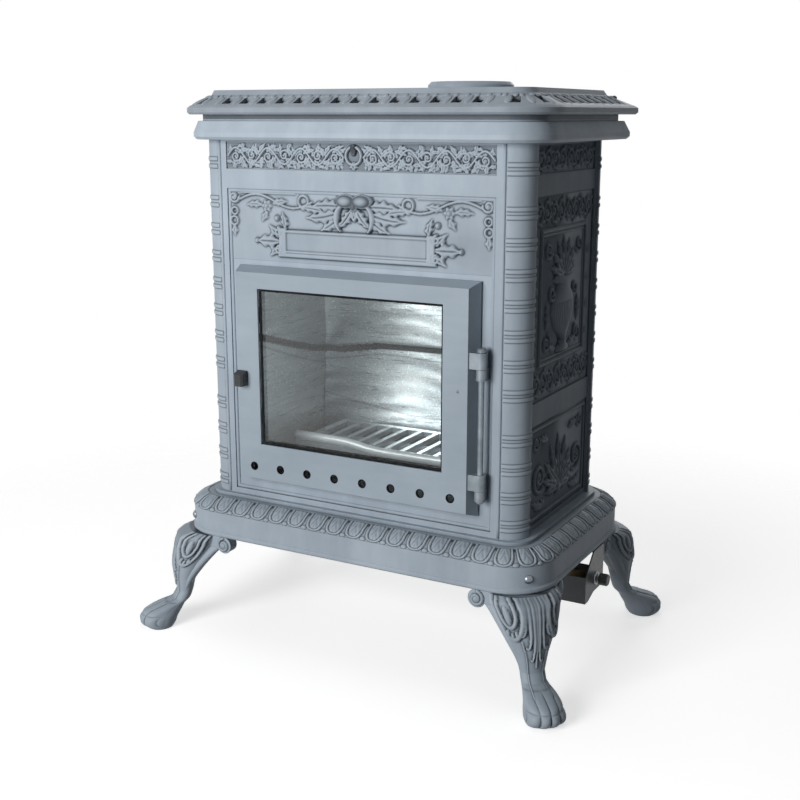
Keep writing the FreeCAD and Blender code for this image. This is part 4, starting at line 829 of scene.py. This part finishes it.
def ventRims():
    # a closed profile of radius and depth, turned about each vent's axis
    radius, depth = np.array(vents["profile"]).T[:, :, None]
    turn = fullTurn(vents["around"])
    x = (np.arange(vents["count"]) - (vents["count"] - 1) / 2) * vents["pitch"]
    x = x[:, None, None] + radius * np.cos(turn)
    z = vents["level"] + radius * np.sin(turn) + 0 * x
    y = vents["front"] + depth + 0 * x
    grid = gridFaces(len(radius), vents["around"], True, True)
    starts = np.arange(vents["count"])[:, None, None] * len(radius) * vents["around"]
    return np.stack([x, y, z], -1), (starts + grid).reshape(-1, 4).tolist()


addPiece("ventRims", *ventRims(), ventShadeFinish, "black_sheet", "door")

rivet = {"place": (172.9, -167.3, 423.9), "radius": 2.6, "narrowing": 0.92, "lift": 1.1, "dip": 0.7,
         "sunk": 0.3, "shadeFrom": 0.7, "rings": 6, "around": 20}


def doorRivet():
    # disc whose height is a quarter ellipse, with a pin hole in the middle that gets painted shade
    share = np.linspace(0, 1, rivet["rings"])[:, None]
    turn = fullTurn(rivet["around"])
    out = rivet["radius"] * (1 - rivet["narrowing"] * share)
    lift = rivet["lift"] * (halfRound((1 - share) ** 2) - rivet["dip"] * share ** 6)
    lift = lift - rivet["sunk"] * (share == 0)
    x, y, z = rivet["place"]
    points = [x + out * np.cos(turn), y - lift + 0 * turn, z + out * np.sin(turn)]
    return np.stack(points, -1), {"hollow": (share > rivet["shadeFrom"]) + 0 * turn}


points, marks = doorRivet()
addPiece("doorRivet", points, tubeFaces(*points.shape[:2]), doorFinish, "door_steel", "door", marks)
print("rivet done")


# plinth: leaf and egg border

border = {"coreX": 233.0, "coreY": 117.0, "radius": 70.0, "insets": (2.5, 4.3, 13.5, 27.0),
          "levels": (194.0, 199.7, 206.9, 213.0), "longCounts": (14, 7), "cornerCount": 3, "perLeaf": 30,
          "rows": 34, "lift": 2.4, "markReach": (3, 0.6), "cover": 0.5, "sunk": -0.8, "openAt": 0.3,
          "rim": (0.84, 1.12), "rimAt": 0.9, "rimHalf": 0.13, "rimLift": 0.8, "egg": (0.58, 0.86),
          "dart": (0.26, 0.3), "dartAt": -0.62, "dartLift": 0.75}


def roundedCourse():
    # core point, outward direction and leaf phase round a rounded rectangle, anticlockwise from the left
    coreX, coreY = border["coreX"], border["coreY"]
    corners = [(-coreX, -coreY), (coreX, -coreY), (coreX, coreY), (-coreX, coreY)]
    core, turn, phase = [], [], []
    for k in range(4):
        start, end = np.array(corners[k]), np.array(corners[(k + 1) % 4])
        runs = ((border["longCounts"][k % 2], start, end, 0), (border["cornerCount"], end, end, 90))
        for count, first, last, swing in runs:
            share = np.arange(count * border["perLeaf"]) / (count * border["perLeaf"])
            core.append(first + (last - first) * share[:, None])
            turn.append(np.radians(-90 + 90 * k + swing * share))
            phase.append(share * count % 1)
    turn = np.concatenate(turn)
    return np.concatenate(core), np.stack([np.cos(turn), np.sin(turn)], 1), np.concatenate(phase)


def plinthBorder():
    # each pitch: a veined egg in a rim that is open at the top, with a dart between; all are rounded ovals in
    # across and tall, which both run from -1 to 1
    core, out, phase = roundedCourse()
    up = np.linspace(0, 1, border["rows"])
    steps = np.linspace(0, 1, len(border["insets"]))
    inset = np.interp(up, steps, border["insets"])
    level = np.interp(up, steps, border["levels"])
    slope = np.stack([np.gradient(inset), np.gradient(level)], 1)
    slope /= np.linalg.norm(slope, axis=1)[:, None]
    across, tall = np.meshgrid((phase - 0.5) * 2, up * 2 - 1)
    below = np.minimum(tall - border["openAt"], 0)
    ring = np.hypot(across / border["rim"][0], below / border["rim"][1])
    height = border["rimLift"] * halfRound(((ring - border["rimAt"]) / border["rimHalf"]) ** 2)
    egg = np.hypot(across / border["egg"][0], below / border["egg"][1])
    veins = 0.86 + 0.14 * np.cos(4 * np.pi * (np.abs(across) * 1.2 + tall * 0.6))
    height = np.maximum(height, halfRound(egg ** 2) * veins)
    dart = np.hypot((1 - np.abs(across)) / border["dart"][0], (tall - border["dartAt"]) / border["dart"][1])
    height = np.maximum(height, border["dartLift"] * halfRound(dart ** 2))
    height = height * border["lift"] * np.clip((0.95 - tall) / 0.1, 0, 1)
    marks = shadeAndRubMarks(height, *border["markReach"])
    # painted shade: black spots in the corners under the moulding, and a dark line along both edges
    shadeSpot = np.exp(-((1 - np.abs(across)) / 0.2) ** 2 - ((tall - 0.78) / 0.18) ** 2)
    shadeLines = np.maximum(0.75 * np.exp(-((tall - 0.9) / 0.05) ** 2), 0.6 * np.exp(-((tall + 0.92) / 0.05) ** 2))
    marks["hollow"] = np.maximum.reduce([marks["hollow"], shadeSpot, shadeLines])
    height += border["cover"]
    height[[0, -1]] = border["sunk"]
    push = (border["radius"] - inset)[:, None] + height * slope[:, 1:]
    rise = level[:, None] + height * slope[:, :1]
    points = np.concatenate([core + out * push[..., None], rise[..., None]], -1)
    return points, gridFaces(border["rows"], len(phase), True, True).tolist(), marks


points, faces, marks = plinthBorder()
addPiece("plinthBorder", points, faces, marks=marks)
print("plinth border done")


# legs

legs = {"core": (233.0, 117.0),
        "shares": (0, .036, .103, .174, .231, .282, .359, .513, .667, .782, .885, .974, 1.0),
        "inner": (110, 106, 102, 95, 90, 82, 77, 71, 53, 37, 27, 23, 22),
        "outer": (147, 153, 156, 149, 128, 107, 100, 101.5, 103, 100, 96, 85, 74),
        "half": (22, 25, 26, 23, 20, 17, 17, 22, 32, 38, 43, 46, 44),
        "height": 155.8, "rows": 230, "cols": 160, "cover": 0.8, "flank": 40.0, "toeLift": 4.6,
        "toePitch": 12.5, "toeLevels": (11.0, 30.0), "toeHeights": (11.5, 9.0), "toeLifts": (1.0, 0.75),
        "frontSlope": 1.8, "frontFrom": 0.3, "markReach": (6, 1.5)}


def smoothThrough(knots, values, at):
    # cubic through the knots with slopes taken from the neighbours
    knots, values = np.array(knots, float), np.array(values, float)
    k = np.clip(np.searchsorted(knots, at) - 1, 0, len(knots) - 2)
    gap = knots[k + 1] - knots[k]
    t = (at - knots[k]) / gap
    slope = np.gradient(values, knots)
    return ((2 * t ** 3 - 3 * t ** 2 + 1) * values[k] + (t ** 3 - 2 * t ** 2 + t) * gap * slope[k]
            + (3 * t ** 2 - 2 * t ** 3) * values[k + 1] + (t ** 3 - t ** 2) * gap * slope[k + 1])


def smoothPath(knots):
    # cubic through the knots, even in steps
    knots = np.array(knots, float)
    at = np.linspace(0, len(knots) - 1, 30 * len(knots))
    return np.stack([smoothThrough(np.arange(len(knots)), knots[:, k], at) for k in (0, 1)], 1)


def carveFlank(sheet):
    # crest ribs that end in hooked tips, a double C-scroll round a drop, and a bead down the shank
    for start, low, hook in ((14, 120, 26), (9, 102, 20), (4, 84, 14)):
        path = smoothPath([(start, 156), (start, low + 20), (start + 2, low),
                           (start + 0.6 * (hook - start), low - 9), (hook, low - 8)])
        stroke(sheet, path, np.linspace(3.0, 1.7, len(path)), 3.4)
    dome(sheet, 39, 135, 5.5, 13, 3.6)
    for wide, tall, thick in ((13, 21, 2.8), (22, 36, 3.6)):
        turn = np.radians(np.linspace(140, 400, 90))
        stroke(sheet, np.stack([39 + wide * np.cos(turn), 141 + tall * np.sin(turn)], 1), thick, thick + 0.8)
    for k in range(3):
        dome(sheet, 31 + 8 * k, 109 + 3 * abs(k - 1), 3.4, 5.0, 4.2)
    stroke(sheet, smoothPath([(26, 102), (24, 70), (24, 36)]), 1.8, 2.0)
    stroke(sheet, smoothPath([(0, 156), (0, 90), (0, 66)]), 3.0, 2.6)


def legShell():
    # oval sections up the leg with ornament raised along the normal; toes swell on the paw in two rows
    level = np.linspace(0, legs["height"], legs["rows"])
    knots = np.array(legs["shares"]) * legs["height"]
    inner, outer, half = (
        widest(smoothThrough(knots, legs[key], level), np.interp(level, knots, legs[key]))[:, None]
        for key, widest in (("inner", np.minimum), ("outer", np.maximum), ("half", np.maximum)))
    angle = (np.arange(legs["cols"]) / legs["cols"] * 2 - 1)[None] * np.pi
    deep = (outer - inner) / 2
    normal = np.stack([half * np.cos(angle), deep * np.sin(angle)], -1)
    normal /= np.linalg.norm(normal, axis=-1, keepdims=True)
    z = np.broadcast_to(level[:, None], (legs["rows"], legs["cols"]))
    flank = {"x": np.abs(angle) * legs["flank"] + 0 * z, "z": z, "h": 0 * z}
    carveFlank(flank)
    # each toe is a rounded lump across the paw, with a lower and an upper knuckle
    width = half * np.sin(angle)
    toe = np.sqrt(np.abs(np.cos(np.pi * (width / legs["toePitch"] - 0.5))))
    front = np.clip(np.cos(angle) * legs["frontSlope"] + legs["frontFrom"], 0, 1)
    rows = [share * halfRound(((z - middle) / reach) ** 2)
            for share, middle, reach in zip(legs["toeLifts"], legs["toeLevels"], legs["toeHeights"])]
    raised = flank["h"] + legs["toeLift"] * front * toe * np.maximum(*rows)
    cover = legs["cover"] + raised
    x = (inner + outer) / 2 + deep * np.cos(angle) + normal[..., 0] * cover
    y = half * np.sin(angle) + normal[..., 1] * cover
    return np.stack([x, y, z], -1), shadeAndRubMarks(raised, *legs["markReach"])


def atCorner(points, side, end):
    # turns a leg built along +X onto a corner's diagonal
    root = np.sqrt(0.5)
    x = (points[..., 0] + points[..., 1]) * root
    y = (points[..., 1] - points[..., 0]) * root
    return np.stack([side * (legs["core"][0] + x), -end * y + end * legs["core"][1], points[..., 2]], -1)


curl = {"rings": 22, "around": 72, "radius": 13.0, "hole": 0.3, "eye": (4.6, 4.6, 4.2),
        "cord": (10.8, 2.6, 1.9, 100, 2.5, 1.5, 3.2, 130), "markReach": (4, 1.2), "cover": 0.3, "sunk": -0.6,
        "along": -20.0, "away": 67.0, "level": 143.5}


def volute():
    # disc with a raised spiral and a round eye: height field on polar coordinates
    share = np.linspace(0, 1, curl["rings"])[:, None]
    angle = fullTurn(curl["around"])
    radius = curl["radius"] * (1 - share) + curl["hole"]
    sheet = {"x": radius * np.cos(angle), "z": radius * np.sin(angle), "h": 0 * radius + 0 * angle}
    coil(sheet, 0, 0, *curl["cord"])
    dome(sheet, 0, 0, *curl["eye"])
    height = softened(sheet["h"], 1) + curl["cover"]
    height[0] = curl["sunk"]
    points = [curl["along"] - sheet["x"], curl["away"] + height, curl["level"] + sheet["z"]]
    return np.stack(points, -1), shadeAndRubMarks(sheet["h"], *curl["markReach"])


wing = {"levels": (50, 60, 75, 93, 115, 131, 141), "edge": (55, 49, 41, 28, 10, -5, -17),
        "seat": (57, 56, 52, 44, 32, 23, 17), "middle": (71, 71, 70, 68, 64, 60, 57),
        "deep": (4, 6, 7.5, 9, 9.5, 8.5, 7), "fullness": 0.8, "rows": 56, "around": 36}


def legWing():
    # level sections from the volute's foot into the leg: rounded boxes between an outer edge and a seat
    level = np.linspace(wing["levels"][0], wing["levels"][-1], wing["rows"])[:, None]
    courses = ("edge", "seat", "middle", "deep")
    edge, seat, middle, deep = (smoothThrough(wing["levels"], wing[key], level) for key in courses)
    turn = fullTurn(wing["around"])
    wide, thick = (np.sign(v) * np.abs(v) ** wing["fullness"] for v in (np.cos(turn), np.sin(turn)))
    along, away = (edge + seat) / 2 + (seat - edge) / 2 * wide, middle - deep * thick
    return np.stack([along, away, level + 0 * along], -1)


def besideLeg(points, face, side, end):
    # along runs with the plinth's edge and away points out of it; the side face swaps the two
    along, away, level = np.moveaxis(points, -1, 0)
    x, y = (along, away) if face == "Front" else (away, along)
    return np.stack([side * (legs["core"][0] + x), end * (legs["core"][1] + y), level], -1)


shell, shellMarks = legShell()
flap = legWing()
disc, discMarks = volute()
shellFaces, flapFaces, discFaces = (tubeFaces(*grid.shape[:2]) for grid in (shell, flap, disc))
for label, side, end in cornersOf:
    turned = side * end > 0
    addPiece("legCarving" + label, atCorner(shell, side, end), flipped(shellFaces, turned), marks=shellMarks)
    for face, flip in (("Front", turned), ("Side", not turned)):
        addPiece("wing" + face + label, besideLeg(flap, face, side, end), flipped(flapFaces, flip))
        addPiece("volute" + face + label, besideLeg(disc, face, side, end), flipped(discFaces, not flip),
                 marks=discMarks)
print("legs done")


# stage

def pointAlong(thing, place, direction):
    # lamps and cameras look along their own -Z
    thing.location = place
    thing.rotation_euler = Vector(direction).to_track_quat("-Z", "Y").to_euler()


def addLight(name, place, aim, size, power, tint):
    lamp = bpy.data.lights.new(name, "AREA")
    lamp.size = size
    lamp.energy = power
    lamp.color = tint
    pointAlong(addObject(name, lamp), place, Vector(aim) - Vector(place))


stage = {"rings": (0.3, 0.6, 0.9, 1.3), "spokes": 96, "fade": (0.6, 1.25), "glow": 0.6, "floorColour": 0.82,
         "bounceColour": 0.3, "skyStrength": 0.036}
lamps = {
    "key": {"place": (-0.48, -2.4, 0.95), "aim": (0, -0.14, 0.45), "size": 1.25, "power": 55,
            "tint": (1.0, 0.99, 0.98)},
    "fill": {"place": (2.6, -0.2, 1.3), "aim": (0, 0, 0.4), "size": 1.8, "power": 1.4,
             "tint": (0.94, 0.97, 1.0)},
    "rear": {"place": (-0.6, 2.6, 1.5), "aim": (0, 0.1, 0.5), "size": 1.8, "power": 20,
             "tint": (1.0, 1.0, 1.0)},
    "top": {"place": (0.1, 0.3, 2.8), "aim": (0, 0, 0.8), "size": 1.6, "power": 10, "tint": (1.0, 1.0, 1.0)}}


def seenRays(tree):
    # 1 for what the camera, a reflection or a clear pane sees, 0 for light that bounces
    rays = tree.nodes.new("ShaderNodeLightPath").outputs
    seen = rays["Is Camera Ray"]
    for ray in ("Is Glossy Ray", "Is Transmission Ray"):
        seen = addNode(tree, "Math", "Value", {0: seen, 1: rays[ray]}, operation="MAXIMUM")
    return seen


def floorFinish():
    # matt white that keeps the shadow, lifted to white by a glow where it is seen, and clear towards its rim
    finish, tree, _ = startFinish("paleFloor")
    seen = seenRays(tree)
    pale, dull = ((stage[key],) * 3 + (1.0,) for key in ("floorColour", "bounceColour"))
    matt = addNode(tree, "BsdfDiffuse", "BSDF", {"Color": blend(tree, seen, dull, pale)})
    strength = spread(tree, seen, (0.0, 1.0), (0.0, stage["glow"]))
    glow = addNode(tree, "Emission", "Emission", {"Color": (1, 1, 1, 1), "Strength": strength})
    lit = addNode(tree, "AddShader", "Shader", {0: matt, 1: glow})
    coords = addNode(tree, "TexCoord", "Object")
    away = addNode(tree, "VectorMath", "Value", {0: coords}, operation="LENGTH")
    clear = addNode(tree, "BsdfTransparent", "BSDF")
    rim = spread(tree, away, stage["fade"], (0.0, 1.0))
    ground = addNode(tree, "MixShader", "Shader", {"Fac": rim, 1: lit, 2: clear})
    return replaceSurface(finish, ground)


def studio():
    # round floor, four soft lamps and a white surround
    angle = fullTurn(stage["spokes"])
    radius = np.array(stage["rings"])[:, None]
    points = np.stack([radius * np.cos(angle), radius * np.sin(angle), 0 * radius * angle], -1)
    faces = gridFaces(len(radius), stage["spokes"], True)[:, ::-1].tolist() + [list(range(stage["spokes"]))]
    floor = addMesh("floor", points, faces, floorFinish())
    for name, lamp in lamps.items():
        addLight(name, **lamp)
    world = bpy.data.worlds.new("studio")
    bpy.context.scene.world = world
    world.use_nodes = True
    tree = world.node_tree
    sky = tree.nodes["Background"]
    sky.inputs["Color"].default_value = (1, 1, 1, 1)
    strength = spread(tree, seenRays(tree), (0.0, 1.0), (stage["skyStrength"], 1.0))
    tree.links.new(strength, sky.inputs["Strength"])


view = {"place": (0.8575, -1.567, 0.784), "look": (-0.4699, 0.8517, -0.2320), "lens": 53.87, "sensor": 36.0}


def photoCamera():
    camera = bpy.data.cameras.new("photoView")
    camera.lens = view["lens"]
    camera.sensor_width = view["sensor"]
    bpy.context.scene.camera = addObject("photoView", camera)
    pointAlong(bpy.context.scene.camera, view["place"], view["look"])


studio()
photoCamera()
bpy.context.scene.view_settings.view_transform = "Standard"
print("stage done")
